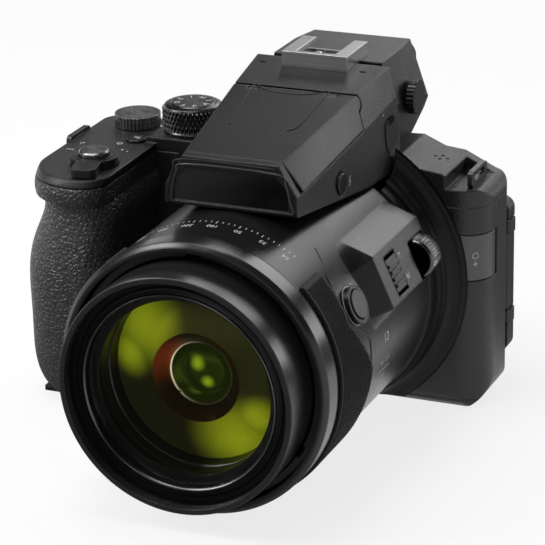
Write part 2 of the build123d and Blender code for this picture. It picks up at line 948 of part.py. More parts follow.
# Chassis: a metal plate across the body, with the battery chamber folded from it
chassis_front = 4.0
chassis_thickness = 1.2
chamber_wall = 0.8
battery_thickness = 12.0
battery_depth = 30.0
battery_height = 48.0
battery_left = 77.5
battery_setback = 2.0
battery_front = door_front + battery_setback
battery_rise = 3.0
battery_low = base_thickness + battery_rise
card_thickness = 2.1
card_width = 24.0
card_height = 32.0
lens_window_radius = 17.0
battery_right = battery_left - battery_thickness
card_left = battery_right - chamber_wall
card_right = card_left - card_thickness - fit_gap * 2
chassis_right = body_right - shell_wall - gap
chassis_left = block_left - overrun / 2
chamber_lift = 1.0
chamber_low = battery_low + chamber_lift
chamber_drop = 4.0
chamber_high = battery_low + battery_height - chamber_drop

chassis_margin = 1.5
with BuildPart() as chassis:
    add(
        block(
            -chassis_left,
            chassis_right,
            chassis_front,
            chassis_front + chassis_thickness,
            base_thickness + boss_height + gap,
            seam_height - chassis_margin,
        )
    )
    add(rod(lens_plane(chassis_front + overrun), lens_window_radius, overrun * 2), mode=Mode.SUBTRACT)
    add(
        block(
            -battery_left - chamber_wall,
            -card_right + chamber_wall,
            battery_front - chamber_wall,
            chassis_front,
            chamber_low,
            chamber_high,
        )
    )
    add(
        block(
            -battery_left - fit_gap,
            -battery_right + fit_gap,
            battery_front - fit_gap,
            battery_front + battery_depth + fit_gap,
            0,
            grip_height,
        ),
        mode=Mode.SUBTRACT,
    )
    add(
        block(
            -card_left,
            -card_right,
            battery_front - fit_gap,
            battery_front + card_width + fit_gap,
            0,
            grip_height,
        ),
        mode=Mode.SUBTRACT,
    )
chassis.part.label = "chassis"
export_step(chassis.part, "parts/chassis.step")

battery_round = 2.0
with BuildPart() as battery:
    add(
        block(
            -battery_left,
            -battery_right,
            battery_front,
            battery_front + battery_depth,
            battery_low,
            battery_low + battery_height,
        )
    )
    fillet(battery.edges().filter_by(Axis.Z), battery_round)
battery.part.label = "battery"
export_step(battery.part, "parts/battery.step")

with BuildPart() as memory_card:
    add(
        block(
            -card_left + fit_gap,
            -card_left + fit_gap + card_thickness,
            battery_front,
            battery_front + card_width,
            battery_low,
            battery_low + card_height,
        )
    )
    chamfer(
        memory_card.edges().filter_by(Axis.X).group_by(Axis.Z)[-1].sort_by(Axis.Y)[-1],
        card_thickness * 2,
    )
memory_card.part.label = "memory_card"
export_step(memory_card.part, "parts/memory_card.step")

board_thickness = 1.6
board_stand_share = 1.5
board_margin = 9.0
with BuildPart() as main_board:
    add(
        block(
            -plate_step - board_margin,
            chassis_right - board_margin,
            chassis_front + chassis_thickness,
            chassis_front + chassis_thickness + board_thickness,
            base_thickness + boss_height + board_margin,
            seam_height - board_margin,
        )
    )
    for share in (0.2, 0.45, 0.7):
        chip_x = -plate_step + (plate_step + chassis_right) * share
        chip = board_thickness * 3
        add(
            block(
                chip_x - chip,
                chip_x + chip,
                chassis_front + chassis_thickness + board_thickness,
                chassis_front + chassis_thickness + board_thickness * board_stand_share,
                axis_height - chip,
                axis_height + chip,
            )
        )
main_board.part.label = "main_board"
export_step(main_board.part, "parts/main_board.step")

# Lens, from the mount at the body to the moving front barrel
collar_length = 8.5
collar_flare = 6.5
flange_length = 5.0
collar_curve_shares = ((0.0, 1.0), (0.04, 0.6), (0.12, 0.36), (0.3, 0.15), (0.58, 0.05), (1.0, 0.0))
flange_step = 0.6
flange_radius = barrel_radius + flange_step
flange_bevel = 1.0
spigot_length = 0.4
collar_foot = 1.6
bore_radius = barrel_radius - barrel_wall
spigot_wall = 1.4
rear_bore = spigot_radius - spigot_wall
ring_front = body_front - collar_length - flange_length
barrel_front = ring_front - barrel_length
outer_front = barrel_front - front_ring_length
rim_front = outer_front - rim_reach
hump_half = 25.2

# Collar: a flared skirt on the body front, with a bright bevelled ring at its mouth
with BuildPart() as lens_collar:
    flare = [
        (flange_radius + flange_bevel + collar_flare * out_share, body_front - collar_length * run_share)
        for run_share, out_share in collar_curve_shares
    ]
    collar_points = [
        (spigot_radius + fit_gap, body_front),
        *flare,
        (flange_radius, body_front - collar_length),
        (flange_radius, ring_front + flange_bevel),
        (flange_radius - flange_bevel, ring_front),
        (spigot_radius + fit_gap, ring_front),
    ]
    revolve(profile(lens_section, collar_points), axis=lens_axis)
    add(block(-far_x, far_x, far_front, far_rear, -far_x, collar_foot), mode=Mode.SUBTRACT)
    add(
        block(-hump_half, hump_half, far_front, far_rear, axis_height + spigot_radius / 2, far_x * 2),
        mode=Mode.SUBTRACT,
    )
lens_collar.part.label = "lens_collar"
export_step(lens_collar.part, "parts/lens_collar.step")

# Control box on the side of the barrel, in directions that lean with its face
box_lean = 24.0
box_setback = 28.6
box_front = ring_front - barrel_length + box_setback
box_ramp = 8.0
box_gap = 1.2
box_rear = ring_front - box_gap
box_face = 44.6
box_top = 8.6
box_bottom = 7.6
box_root = 33.0
box_crown_out = 36.8
box_crown = 16.2
box_heel_out = 39.0
box_heel = 10.8
lean_cos = math.cos(math.radians(box_lean))
lean_sin = math.sin(math.radians(box_lean))
side_dial_offset = 42.4
side_dial_drop = 1.8
side_dial_radius = 6.2
side_dial_length = 8.2
side_dial_inset = 0.9
side_dial_rear = box_rear - side_dial_inset
side_shaft_radius = 1.2
side_shaft_overlap = 0.8
dial_pocket_front = 4.0
rocker_setback = 18.0
rocker_y = box_front + rocker_setback
rocker_length = 10.0
rocker_width = 7.5
rocker_travel = 0.9
rocker_depth = 1.9
rocker_proud = 0.6
snap_reach = 6.0
snap_y = box_front - snap_reach
snap_radius = 4.2
snap_ring = 5.6
snap_ring_proud = 1.3
snap_proud = 0.7
snap_travel = 0.6
key_width = 4.0
key_height = 0.8
key_length = 5.0
key_count = 3
key_spread = 360 / key_count
key_turn = key_spread / 2
slot_end = ring_front - barrel_wall * 3


def lean_plane(y, distance):
    """Plane on the barrel's side, facing out at the control box's lean."""
    return Plane(
        origin=(distance * lean_cos, y, axis_height + distance * lean_sin),
        x_dir=(0, -1, 0),
        z_dir=(lean_cos, 0, lean_sin),
    )


def lean_points(pairs):
    """Turns (outward, sideways) pairs into (x, z) from the lens axis."""
    return [(out * lean_cos - side * lean_sin, out * lean_sin + side * lean_cos) for out, side in pairs]


box_outline = (
    (box_root, box_crown),
    (box_crown_out, box_crown),
    (box_face, box_top),
    (box_face, -box_bottom),
    (box_heel_out, -box_heel),
    (box_root, -box_heel),
)


def sunk_points(pairs):
    """Draws (outward, sideways) pairs in to just under the barrel's surface."""
    sunk = []
    for out, side in pairs:
        share = min(1, (barrel_radius - gap) / math.hypot(out, side))
        sunk.append((out * share, side * share))
    return sunk


def key_slots(radius, y_low, y_high, first_angle, clearance):
    """Three straight keys or slots round a barrel wall; keys are smaller by the clearance."""
    with BuildPart() as keys:
        for turn in range(key_count):
            with BuildSketch(lens_plane(y_high).rotated((0, key_spread * turn + first_angle, 0))):
                with Locations((0, radius)):
                    Rectangle(key_width - clearance * 2, (key_height - clearance) * 2)
            extrude(amount=y_high - y_low)
    return keys.part


side_dial_x = side_dial_offset * lean_cos + side_dial_drop * lean_sin
side_dial_z = side_dial_offset * lean_sin - side_dial_drop * lean_cos
side_dial_plane = Plane(
    origin=(side_dial_x, side_dial_rear, axis_height + side_dial_z),
    x_dir=(1, 0, 0),
    z_dir=(0, -1, 0),
)

with BuildPart() as lens_barrel:
    add(rod(lens_plane(ring_front), barrel_radius, barrel_length))
    extrude(profile(lens_plane(box_rear), lean_points(box_outline)), amount=box_rear - box_front - box_ramp)
    ramp_top = profile(lens_plane(box_front + box_ramp), lean_points(box_outline))
    ramp_foot = profile(lens_plane(box_front), lean_points(sunk_points(box_outline)))
    loft([ramp_top, ramp_foot], ruled=True)
    add(rod(lean_plane(snap_y, bore_radius + gap), snap_ring, barrel_wall + snap_ring_proud))
    add(rod(lens_plane(ring_front), bore_radius, barrel_length + overrun), mode=Mode.SUBTRACT)
    add(
        tube(
            lens_plane(body_front + shell_wall + spigot_length),
            spigot_radius,
            rear_bore,
            body_front - ring_front + shell_wall + spigot_length,
        ),
    )
    add(tube(lens_plane(ring_front), barrel_radius, rear_bore, barrel_wall))
    add(
        rod(side_dial_plane.offset(-gap), side_dial_radius + gap, side_dial_length + dial_pocket_front),
        mode=Mode.SUBTRACT,
    )
    add(
        rod(
            side_dial_plane.offset(-side_shaft_overlap - gap),
            side_shaft_radius + fit_gap,
            side_dial_length + dial_pocket_front + side_shaft_overlap * 2 + gap,
        ),
        mode=Mode.SUBTRACT,
    )
    with BuildSketch(lean_plane(rocker_y, box_face - rocker_depth - gap)):
        Rectangle(rocker_width + gap * 2, rocker_length + (rocker_travel + gap) * 2)
    extrude(amount=overrun, mode=Mode.SUBTRACT)
    add(rod(lean_plane(snap_y, barrel_radius - gap), snap_radius + gap, overrun), mode=Mode.SUBTRACT)
    add(key_slots(bore_radius, barrel_front - overrun, slot_end, key_turn, 0), mode=Mode.SUBTRACT)
lens_barrel.part.label = "lens_barrel"
export_step(lens_barrel.part, "parts/lens_barrel.step")

side_dial_notches = 30
side_notch_share = 0.05
side_hub_share = 0.72
with BuildPart() as side_dial:
    add(
        notched_wheel(
            side_dial_plane,
            side_dial_radius,
            side_dial_length,
            side_dial_notches,
            side_notch_share,
        ),
    )
    add(
        rod(
            side_dial_plane.offset(-side_shaft_overlap),
            side_shaft_radius,
            side_dial_length + dial_pocket_front + side_shaft_overlap * 2 - gap,
        )
    )
    add(
        rod(
            side_dial_plane.offset(side_dial_length - side_shaft_radius),
            side_dial_radius * side_hub_share,
            overrun,
        ),
        mode=Mode.SUBTRACT,
    )
    add(
        rod(
            side_dial_plane.offset(side_dial_length / 2),
            side_shaft_radius,
            side_dial_length / 2 + dial_pocket_front + side_shaft_overlap - gap,
        )
    )
side_dial.part.label = "side_dial"
export_step(side_dial.part, "parts/side_dial.step")

rocker_ribs = 4
with BuildPart() as zoom_rocker:
    with BuildSketch(lean_plane(rocker_y, box_face - rocker_depth)):
        Rectangle(rocker_width, rocker_length)
    extrude(amount=rocker_depth)
    with BuildSketch(lean_plane(rocker_y, box_face)):
        with GridLocations(0, rocker_length / (rocker_ribs + 1), 1, rocker_ribs):
            Rectangle(rocker_width - gap, rocker_length / (rocker_ribs + 1) / 2)
    extrude(amount=rocker_proud)
zoom_rocker.part.label = "zoom_rocker"
export_step(zoom_rocker.part, "parts/zoom_rocker.step")

with BuildPart() as snap_back_button:
    add(
        rod(
            lean_plane(snap_y, barrel_radius + snap_travel),
            snap_radius,
            snap_ring_proud - snap_travel + snap_proud,
        ),
    )
snap_back_button.part.label = "snap_back_button"
export_step(snap_back_button.part, "parts/snap_back_button.step")

# Front ring of the fixed barrel, glossy, with a bevelled outer edge
ring_bevel = 1.3
with BuildPart() as barrel_front_ring:
    ring_points = (
        (bore_radius + fit_gap, barrel_front),
        (front_ring_radius, barrel_front),
        (front_ring_radius, outer_front + ring_bevel),
        (front_ring_radius - ring_bevel, outer_front),
        (bore_radius + fit_gap, outer_front),
    )
    revolve(profile(lens_section, ring_points), axis=lens_axis)
barrel_front_ring.part.label = "barrel_front_ring"
export_step(barrel_front_ring.part, "parts/barrel_front_ring.step")

# Rubber round the front of the barrel, where the left hand holds it
pad_thickness = 1.0
pad_setback = 2.0
pad_front = barrel_front + pad_setback
pad_narrow = 12.4
pad_wide = 24.2
pad_top_height = 28.3
pad_step_height = 14.0
pad_shoulder = 3.0


with BuildPart() as barrel_rubber:
    add(tube(lens_plane(pad_front + pad_wide), barrel_radius + pad_thickness, barrel_radius, pad_wide))
    pad_side = Plane(origin=(-barrel_radius * 2, 0, axis_height), x_dir=(0, 1, 0), z_dir=(1, 0, 0))
    pad_points = (
        (pad_front, -barrel_radius - overrun),
        (pad_front + pad_wide, -barrel_radius - overrun),
        (pad_front + pad_wide, -pad_shoulder),
        (pad_front + pad_narrow, pad_step_height),
        (pad_front + pad_narrow, pad_top_height),
        (pad_front, pad_top_height),
    )
    extrude(profile(pad_side, pad_points), amount=barrel_radius * 4, mode=Mode.INTERSECT)
    add(
        block(-far_x, far_x, -far_x * 2, far_rear, -far_x, axis_height - front_ring_radius),
        mode=Mode.SUBTRACT,
    )
barrel_rubber.part.label = "barrel_rubber"
export_step(barrel_rubber.part, "parts/barrel_rubber.step")

# Middle barrel: slides in the fixed barrel on three keys
middle_outer = bore_radius - gap
middle_wall = 2.1
middle_inset = 3.5
middle_front = outer_front + middle_inset
middle_rear_inset = 10.8
middle_rear = box_rear - middle_rear_inset
middle_inner = middle_outer - middle_wall
with BuildPart() as mid_barrel:
    add(tube(lens_plane(middle_rear), middle_outer, middle_inner, middle_rear - middle_front))
    add(key_slots(middle_outer, middle_rear - key_length, middle_rear, key_turn, gap))
    add(
        rod(lens_plane(middle_rear + overrun), middle_inner, middle_rear - middle_front + overrun * 2),
        mode=Mode.SUBTRACT,
    )
    add(key_slots(middle_inner, middle_front - overrun, middle_rear - key_length, 0, 0), mode=Mode.SUBTRACT)
mid_barrel.part.label = "mid_barrel"
export_step(mid_barrel.part, "parts/mid_barrel.step")

# Front barrel: carries the front lens, with the filter thread in its mouth
front_wall = 1.1
front_rear_inset = 1.5
front_rear = middle_rear - key_length - front_rear_inset
filter_depth = 3.0
front_inner = rim_radius - front_wall
with BuildPart() as followers:
    for turn in range(key_count):
        with BuildSketch(lens_plane(front_rear).rotated((0, key_spread * turn, 0))):
            with Locations((0, rim_radius)):
                Rectangle(key_width - gap * 2, key_height + gap * 2)
        extrude(amount=key_length)

with BuildPart() as front_barrel:
    front_points = (
        (front_inner, front_rear),
        (rim_radius, front_rear),
        (rim_radius, rim_front + front_wall / 4),
        (rim_radius - front_wall / 4, rim_front),
        (filter_radius, rim_front),
        (filter_radius, rim_front + filter_depth),
        (front_inner, rim_front + filter_depth),
    )
    revolve(profile(lens_section, front_points), axis=lens_axis)
    add(followers.part)
    add(rod(lens_plane(front_rear + overrun), front_inner, key_length + overrun * 2), mode=Mode.SUBTRACT)
front_barrel.part.label = "front_barrel"
export_step(front_barrel.part, "parts/front_barrel.step")

# Bezel that holds the front lens, a dished ring with a bright inner edge
bezel_depth = 2.4
bezel_lip = 3.2
bezel_step = 5.0
bezel_shoulder = 1.6
glass_seat = 7.4
with BuildPart() as lens_bezel:
    bezel_points = (
        (glass_radius + gap, rim_front + bezel_lip),
        (glass_radius + gap * 3, rim_front + bezel_lip),
        (filter_radius - bezel_shoulder, rim_front + bezel_step),
        (front_inner - fit_gap, rim_front + bezel_step),
        (front_inner - fit_gap, rim_front + glass_seat + bezel_depth),
        (glass_radius - bezel_depth, rim_front + glass_seat + bezel_depth),
        (glass_radius - bezel_depth, rim_front + glass_seat + fit_gap),
        (glass_radius + gap, rim_front + glass_seat + fit_gap),
    )
    revolve(profile(lens_section, bezel_points), axis=lens_axis)
lens_bezel.part.label = "lens_bezel"
export_step(lens_bezel.part, "parts/lens_bezel.step")


def dome_points(radius, y_edge, rise, y_back, hollow):
    """Half section of a lens: a crowned front face and a hollow or flat back."""
    count = 8
    front = []
    back = []
    for step in range(count + 1):
        share = step / count
        front.append((radius * share, y_edge - rise * (1 - share * share)))
        back.append((radius * (1 - share), y_back - hollow * share * (2 - share)))
    return front + back


glass_rise = 2.5
glass_edge = 1.6
glass_hollow = 2.4
with BuildPart() as front_lens:
    glass_front = rim_front + glass_seat - glass_edge
    glass_back = rim_front + glass_seat
    face = profile(
        lens_section,
        dome_points(glass_radius, glass_front, glass_rise, glass_back, glass_hollow),
    )
    revolve(face, axis=lens_axis)
front_lens.part.label = "front_lens"
export_step(front_lens.part, "parts/front_lens.step")

# Black cone behind the front lens, which narrows to the inner group
baffle_wall = 0.8
baffle_throat = 13.5
baffle_depth = 26.0
baffle_rear = rim_front + baffle_depth
baffle_front = rim_front + glass_seat + bezel_depth
with BuildPart() as lens_baffle:
    baffle_points = (
        (glass_radius - bezel_depth, baffle_front),
        (front_inner - fit_gap * 2, baffle_front),
        (front_inner - fit_gap * 2, baffle_front + front_wall),
        (glass_radius - bezel_depth, baffle_front + front_wall),
        (baffle_throat + baffle_wall, baffle_rear),
        (baffle_throat, baffle_rear),
    )
    revolve(profile(lens_section, baffle_points), axis=lens_axis)
lens_baffle.part.label = "lens_baffle"
export_step(lens_baffle.part, "parts/lens_baffle.step")

# Zoom group: carried by the middle barrel on a spider behind the baffle
zoom_cell_radius = 12.0
zoom_cell_wall = 1.4
zoom_cell_length = 10.0
spider_length = 2.0
zoom_cell_front = middle_rear - zoom_cell_length
zoom_glass_inset = 3.0
zoom_glass_edge = 2.5
zoom_glass_hollow = 1.2
inner_glass_rise = 2.0
with BuildPart() as zoom_lens_cell:
    add(
        tube(
            lens_plane(middle_rear),
            zoom_cell_radius,
            zoom_cell_radius - zoom_cell_wall,
            zoom_cell_length,
        ),
    )
    add(tube(lens_plane(middle_rear), middle_inner, zoom_cell_radius - zoom_cell_wall, spider_length))
    add(
        key_slots(middle_inner + key_height, middle_rear - overrun, middle_rear + overrun, 0, 0),
        mode=Mode.SUBTRACT,
    )
zoom_lens_cell.part.label = "zoom_lens_cell"
export_step(zoom_lens_cell.part, "parts/zoom_lens_cell.step")

with BuildPart() as zoom_lens:
    zoom_glass = zoom_cell_radius - zoom_cell_wall
    zoom_edge = zoom_cell_front + zoom_glass_inset
    zoom_back = zoom_edge + zoom_glass_edge
    face = profile(
        lens_section,
        dome_points(zoom_glass, zoom_edge, inner_glass_rise, zoom_back, zoom_glass_hollow),
    )
    revolve(face, axis=lens_axis)
zoom_lens.part.label = "zoom_lens"
export_step(zoom_lens.part, "parts/zoom_lens.step")

# Rear group: fixed to the back of the barrel, ahead of the image sensor
rear_cell_radius = 14.0
rear_cell_gap = 3.0
rear_cell_front = middle_rear + rear_cell_gap
rear_glass_inset = 3.5
rear_glass_hollow = 1.0
rear_flange = 1.6
sensor_stand = 3.2
sensor_front = chassis_front - sensor_stand
rear_cell_clearance = 1.0
rear_cell_back = sensor_front - rear_cell_clearance
flange_y = body_front + shell_wall
with BuildPart() as rear_lens_cell:
    add(
        tube(
            lens_plane(rear_cell_back),
            rear_cell_radius,
            rear_cell_radius - zoom_cell_wall,
            rear_cell_back - rear_cell_front,
        ),
    )
    add(tube(lens_plane(flange_y), rear_bore, rear_cell_radius - zoom_cell_wall, rear_flange))
rear_lens_cell.part.label = "rear_lens_cell"
export_step(rear_lens_cell.part, "parts/rear_lens_cell.step")

with BuildPart() as rear_lens:
    rear_glass = rear_cell_radius - zoom_cell_wall
    rear_edge = rear_cell_front + rear_glass_inset
    rear_back = rear_edge + rear_glass_inset
    face = profile(
        lens_section,
        dome_points(rear_glass, rear_edge, inner_glass_rise, rear_back, rear_glass_hollow),
    )
    revolve(face, axis=lens_axis)
rear_lens.part.label = "rear_lens"
export_step(rear_lens.part, "parts/rear_lens.step")

sensor_width = 11.0
sensor_height = 9.0
sensor_board = 30.0
sensor_board_share = 0.62
sensor_glass = 1.2
with BuildPart() as image_sensor:
    add(
        block(
            -sensor_board / 2,
            sensor_board / 2,
            sensor_front + sensor_glass,
            chassis_front,
            axis_height - sensor_board * sensor_board_share,
            axis_height + sensor_board * sensor_board_share,
        )
    )
    add(
        block(
            -sensor_width / 2,
            sensor_width / 2,
            sensor_front,
            sensor_front + sensor_glass,
            axis_height - sensor_height / 2,
            axis_height + sensor_height / 2,
        )
    )
image_sensor.part.label = "image_sensor"
export_step(image_sensor.part, "parts/image_sensor.step")

# Viewfinder hump: half widths and heights of its sections, from the nose to the eyepiece
nose_y = body_front - hump_front
lid_rear = body_front - lid_rear_gap
nose_half = 20.4
nose_top_half = 14.7
nose_waist_rise = 6.2
nose_waist = head_low + nose_waist_rise
nose_clearance = 0.4
nose_low = lens_top + nose_clearance
lid_rise = 22.0
lid_top = head_low + lid_rise
lid_half = 19.3
lid_waist_half = 22.2
lid_waist_rise = 11.7
lid_waist = head_low + lid_waist_rise
foot_half = 24.0
shoe_deck_rise = 24.2
shoe_deck = head_low + shoe_deck_rise
deck_half = 21.5
deck_setback = 6.0
deck_y = body_front + deck_setback
deck_waist_half = 23.5
deck_waist_rise = 15.2
deck_waist = head_low + deck_waist_rise
eye_half = 17.5
eye_low_half = 20.5
eye_lift = 1.0
eye_low = dial_deck_height + eye_lift
eye_setback = 9.5
eye_front = body_front + eye_setback


def hump_section(y, low_half, low, waist_half, waist, top_half, top, inset):
    """Six-sided section across the hump, with its sides moved in by the inset."""
    points = (
        (-low_half + inset, low - axis_height),
        (low_half - inset, low - axis_height),
        (waist_half - inset, waist - axis_height),
        (top_half - inset / 2, top - axis_height - inset),
        (-top_half + inset / 2, top - axis_height - inset),
        (-waist_half + inset, waist - axis_height),
    )
    return profile(lens_plane(y), points)


nose_tuck = 0.2
foot_drop = 1.6
deck_drop = 2.3
deck_flare = 1.0
foot_low = dial_deck_height - foot_drop
deck_low = dial_deck_height - deck_drop
nose_waist_half = nose_half - nose_tuck
deck_foot_half = foot_half + deck_flare


def nose_section(inset):
    """Section at the hump's nose."""
    y = nose_y + inset
    top = hump_top_front
    return hump_section(y, nose_half, nose_low, nose_waist_half, nose_waist, nose_top_half, top, inset)


def lid_section(inset):
    """Section at the lid's rear edge."""
    return hump_section(lid_rear, foot_half, foot_low, lid_waist_half, lid_waist, lid_half, lid_top, inset)


def deck_section(inset):
    """Section under the accessory shoe."""
    y = deck_y
    return hump_section(y, deck_foot_half, deck_low, deck_waist_half, deck_waist, deck_half, shoe_deck, inset)


def hump_form(inset):
    """The flash and shoe part of the hump, from the nose to behind the shoe."""
    with BuildPart() as hump:
        loft([nose_section(inset), lid_section(inset)], ruled=True)
        loft([lid_section(inset), deck_section(inset)], ruled=True)
    return hump.part


# Flash lid: the upper nose of the hump, hinged at its rear edge
split_front_rise = 6.6
lid_split_front = head_low + split_front_rise
split_rear_rise = 11.7
lid_split_rear = head_low + split_rear_rise
lid_lean = 1.9
nose_frame = 2.8
lid_front = nose_y + nose_frame
lid_hinge_radius = 2.2
lid_pin_radius = 0.8
knuckle_low = 11.0
knuckle_width = 3.0
lid_hinge_gap = 0.5
lid_hinge_inset = 1.6
lid_hinge_y = lid_rear - lid_hinge_inset
lid_slope_share = (lid_top - hump_top_front) / (lid_rear - nose_y)
lid_hinge_z = lid_top - (lid_rear - lid_hinge_y) * lid_slope_share - lid_hinge_radius
pin_half = knuckle_low + knuckle_width


def hinge_rod(radius, x_low, x_high):
    """Rod about the lid's hinge axis, from one X to another."""
    start = Plane(origin=(x_low, lid_hinge_y, lid_hinge_z), x_dir=(0, 1, 0), z_dir=(1, 0, 0))
    return rod(start, radius, x_high - x_low)


def lid_zone(grow, lean):
    """Side view of the space that the lid takes, grown by a gap; its front leans back at the foot."""
    side = Plane(origin=(-hump_half * 2, 0, 0), x_dir=(0, 1, 0), z_dir=(1, 0, 0))
    points = (
        (lid_front - grow + lean, lid_split_front - grow),
        (lid_hinge_y + grow, lid_split_rear - grow),
        (lid_hinge_y + grow, lid_top + overrun),
        (lid_front - grow, lid_top + overrun),
        (lid_front - grow, hump_top_front),
    )
    with BuildPart() as zone:
        extrude(profile(side, points), amount=hump_half * 4)
    return zone.part


def knuckles(grow):
    """The two housing knuckles that the hinge pin passes through, grown by a gap."""
    with BuildPart() as pair:
        for side in (1, -1):
            near = side * (knuckle_low - grow)
            far = side * (knuckle_low + knuckle_width + grow)
            add(hinge_rod(lid_hinge_radius + grow, min(near, far), max(near, far)))
    return pair.part


flash_pocket_depth = 3.0
window_half = 13.5
window_margin = 1.6
window_low = lid_split_front + window_margin
window_high = hump_top_front - window_margin
window_front = lid_front + lid_lean
window_depth = 2.0
with BuildPart() as lid_space:
    add(lid_zone(0, lid_lean))
    add(hinge_rod(lid_hinge_radius, -hump_half * 2, hump_half * 2))

with BuildPart() as flash_lid:
    add(hump_form(0))
    add(lid_space.part, mode=Mode.INTERSECT)
    add(knuckles(gap), mode=Mode.SUBTRACT)
    add(hinge_rod(lid_pin_radius + fit_gap, -pin_half - gap, pin_half + gap), mode=Mode.SUBTRACT)
    add(
        block(
            -window_half - fit_gap,
            window_half + fit_gap,
            lid_front - overrun,
            window_front + window_depth + flash_pocket_depth,
            window_low - fit_gap,
            window_high + fit_gap,
        ),
        mode=Mode.SUBTRACT,
    )
flash_lid.part.label = "flash_lid"
export_step(flash_lid.part, "parts/flash_lid.step")

with BuildPart() as flash_window:
    add(
        block(
            -window_half,
            window_half,
            window_front,
            window_front + window_depth,
            window_low,
            window_high,
        ),
    )
flash_window.part.label = "flash_window"
export_step(flash_window.part, "parts/flash_window.step")

with BuildPart() as flash_hinge_pin:
    add(hinge_rod(lid_pin_radius, -pin_half, pin_half))
flash_hinge_pin.part.label = "flash_hinge_pin"
export_step(flash_hinge_pin.part, "parts/flash_hinge_pin.step")

# Accessory shoe: standard foot 18.6 wide, lips 12.5 apart
shoe_slot = 18.6
shoe_throat = 12.5
shoe_half = 10.5
shoe_lip = 1.5
shoe_slot_height = 2.1
shoe_floor = 1.2
shoe_reach = 1.5
shoe_front = body_front - shoe_reach
shoe_length = 17.5
shoe_stop = 1.6
shoe_slot_low = shoe_top - shoe_lip - shoe_slot_height
shoe_base = shoe_slot_low - shoe_floor
shoe_rear = shoe_front + shoe_length

plate_half_low = 17.7
plate_half_high = 13.4
plate_margin_low = 1.4
plate_low = nose_low + plate_margin_low
plate_margin_high = 3.3
plate_high = hump_top_front - plate_margin_high
plate_thickness = 1.0
plate_recess = 1.2
plate_corner_drop = 3.5
plate_corner = plate_high - axis_height - plate_corner_drop
plate_points = (
    (-plate_half_low, plate_low - axis_height),
    (plate_half_low, plate_low - axis_height),
    (plate_half_low - gap, plate_corner),
    (plate_half_high, plate_high - axis_height),
    (-plate_half_high, plate_high - axis_height),
    (-plate_half_low + gap, plate_corner),
)

flash_button_reach = 36.8
flash_button_y = body_front - flash_button_reach
flash_button_rise = 1.3
flash_button_z = head_low + flash_button_rise
flash_button_radius = 3.2
flash_button_x = 21.9
flash_button_depth = 3.0
flash_button_plane = Plane(
    origin=(flash_button_x, flash_button_y, flash_button_z),
    x_dir=(0, -1, 0),
    z_dir=(1, 0, 0),
)

hollow_side = Plane(origin=(-hump_half * 2, 0, 0), x_dir=(0, 1, 0), z_dir=(1, 0, 0))
hollow_points = (
    (nose_y + shell_wall, 0),
    (deck_y - shell_wall, 0),
    (deck_y - shell_wall, shoe_base - shell_wall),
    (lid_hinge_y + lid_hinge_radius + gap + shell_wall, shoe_base - shell_wall * 2),
    (lid_hinge_y + lid_hinge_radius, lid_split_rear - shell_wall * 2),
    (nose_y + shell_wall, lid_split_front - shell_wall * 2),
)
with BuildPart() as hump_hollow:
    add(hump_form(shell_wall))
    extrude(profile(hollow_side, hollow_points), amount=hump_half * 4, mode=Mode.INTERSECT)

with BuildPart() as hump_housing:
    add(hump_form(0))
    add(hump_hollow.part, mode=Mode.SUBTRACT)
    add(lid_zone(gap, 0), mode=Mode.SUBTRACT)
    add(hinge_rod(lid_hinge_radius + lid_hinge_gap, -hump_half * 2, hump_half * 2), mode=Mode.SUBTRACT)
    add(knuckles(0))
    for side in (1, -1):
        web_middle = side * (knuckle_low + knuckle_width / 2)
        add(
            block(
                web_middle - knuckle_width / 2,
                web_middle + knuckle_width / 2,
                lid_hinge_y,
                lid_hinge_y + lid_hinge_radius + shell_wall,
                lid_hinge_z - lid_hinge_radius,
                lid_hinge_z + lid_pin_radius,
            )
        )
    add(hinge_rod(lid_pin_radius + fit_gap, -pin_half - fit_gap, pin_half + fit_gap), mode=Mode.SUBTRACT)
    add(rod(lens_plane(body_front), barrel_radius + fit_gap * 2, barrel_length * 2), mode=Mode.SUBTRACT)
    add(
        rod(
            lens_plane(body_front),
            flange_radius + flange_bevel + fit_gap,
            collar_length + flange_length + gap,
        ),
        mode=Mode.SUBTRACT,
    )
    add(outer_form, mode=Mode.SUBTRACT)
    extrude(profile(lens_plane(nose_y + plate_recess), plate_points), amount=overrun, mode=Mode.SUBTRACT)
    add(
        rod(flash_button_plane.offset(-overrun), flash_button_radius + gap, overrun * 2),
        mode=Mode.SUBTRACT,
    )
    add(
        block(
            -shoe_half - fit_gap,
            shoe_half + fit_gap,
            shoe_front - fit_gap,
            far_rear,
            shoe_base,
            shoe_top * 2,
        ),
        mode=Mode.SUBTRACT,
    )
hump_housing.part.label = "hump_housing"
export_step(hump_housing.part, "parts/hump_housing.step")

with BuildPart() as nameplate:
    extrude(profile(lens_plane(nose_y + plate_recess), plate_points), amount=plate_thickness)
nameplate.part.label = "nameplate"
export_step(nameplate.part, "parts/nameplate.step")

with BuildPart() as flash_button:
    add(
        rod(
            flash_button_plane.offset(-flash_button_depth),
            flash_button_radius,
            flash_button_depth + button_proud,
        ),
    )
    top_edge = flash_button.edges().filter_by(GeomType.CIRCLE).sort_by(Axis.X)[-1]
    fillet(top_edge, button_proud / 2)
flash_button.part.label = "flash_button"
export_step(flash_button.part, "parts/flash_button.step")

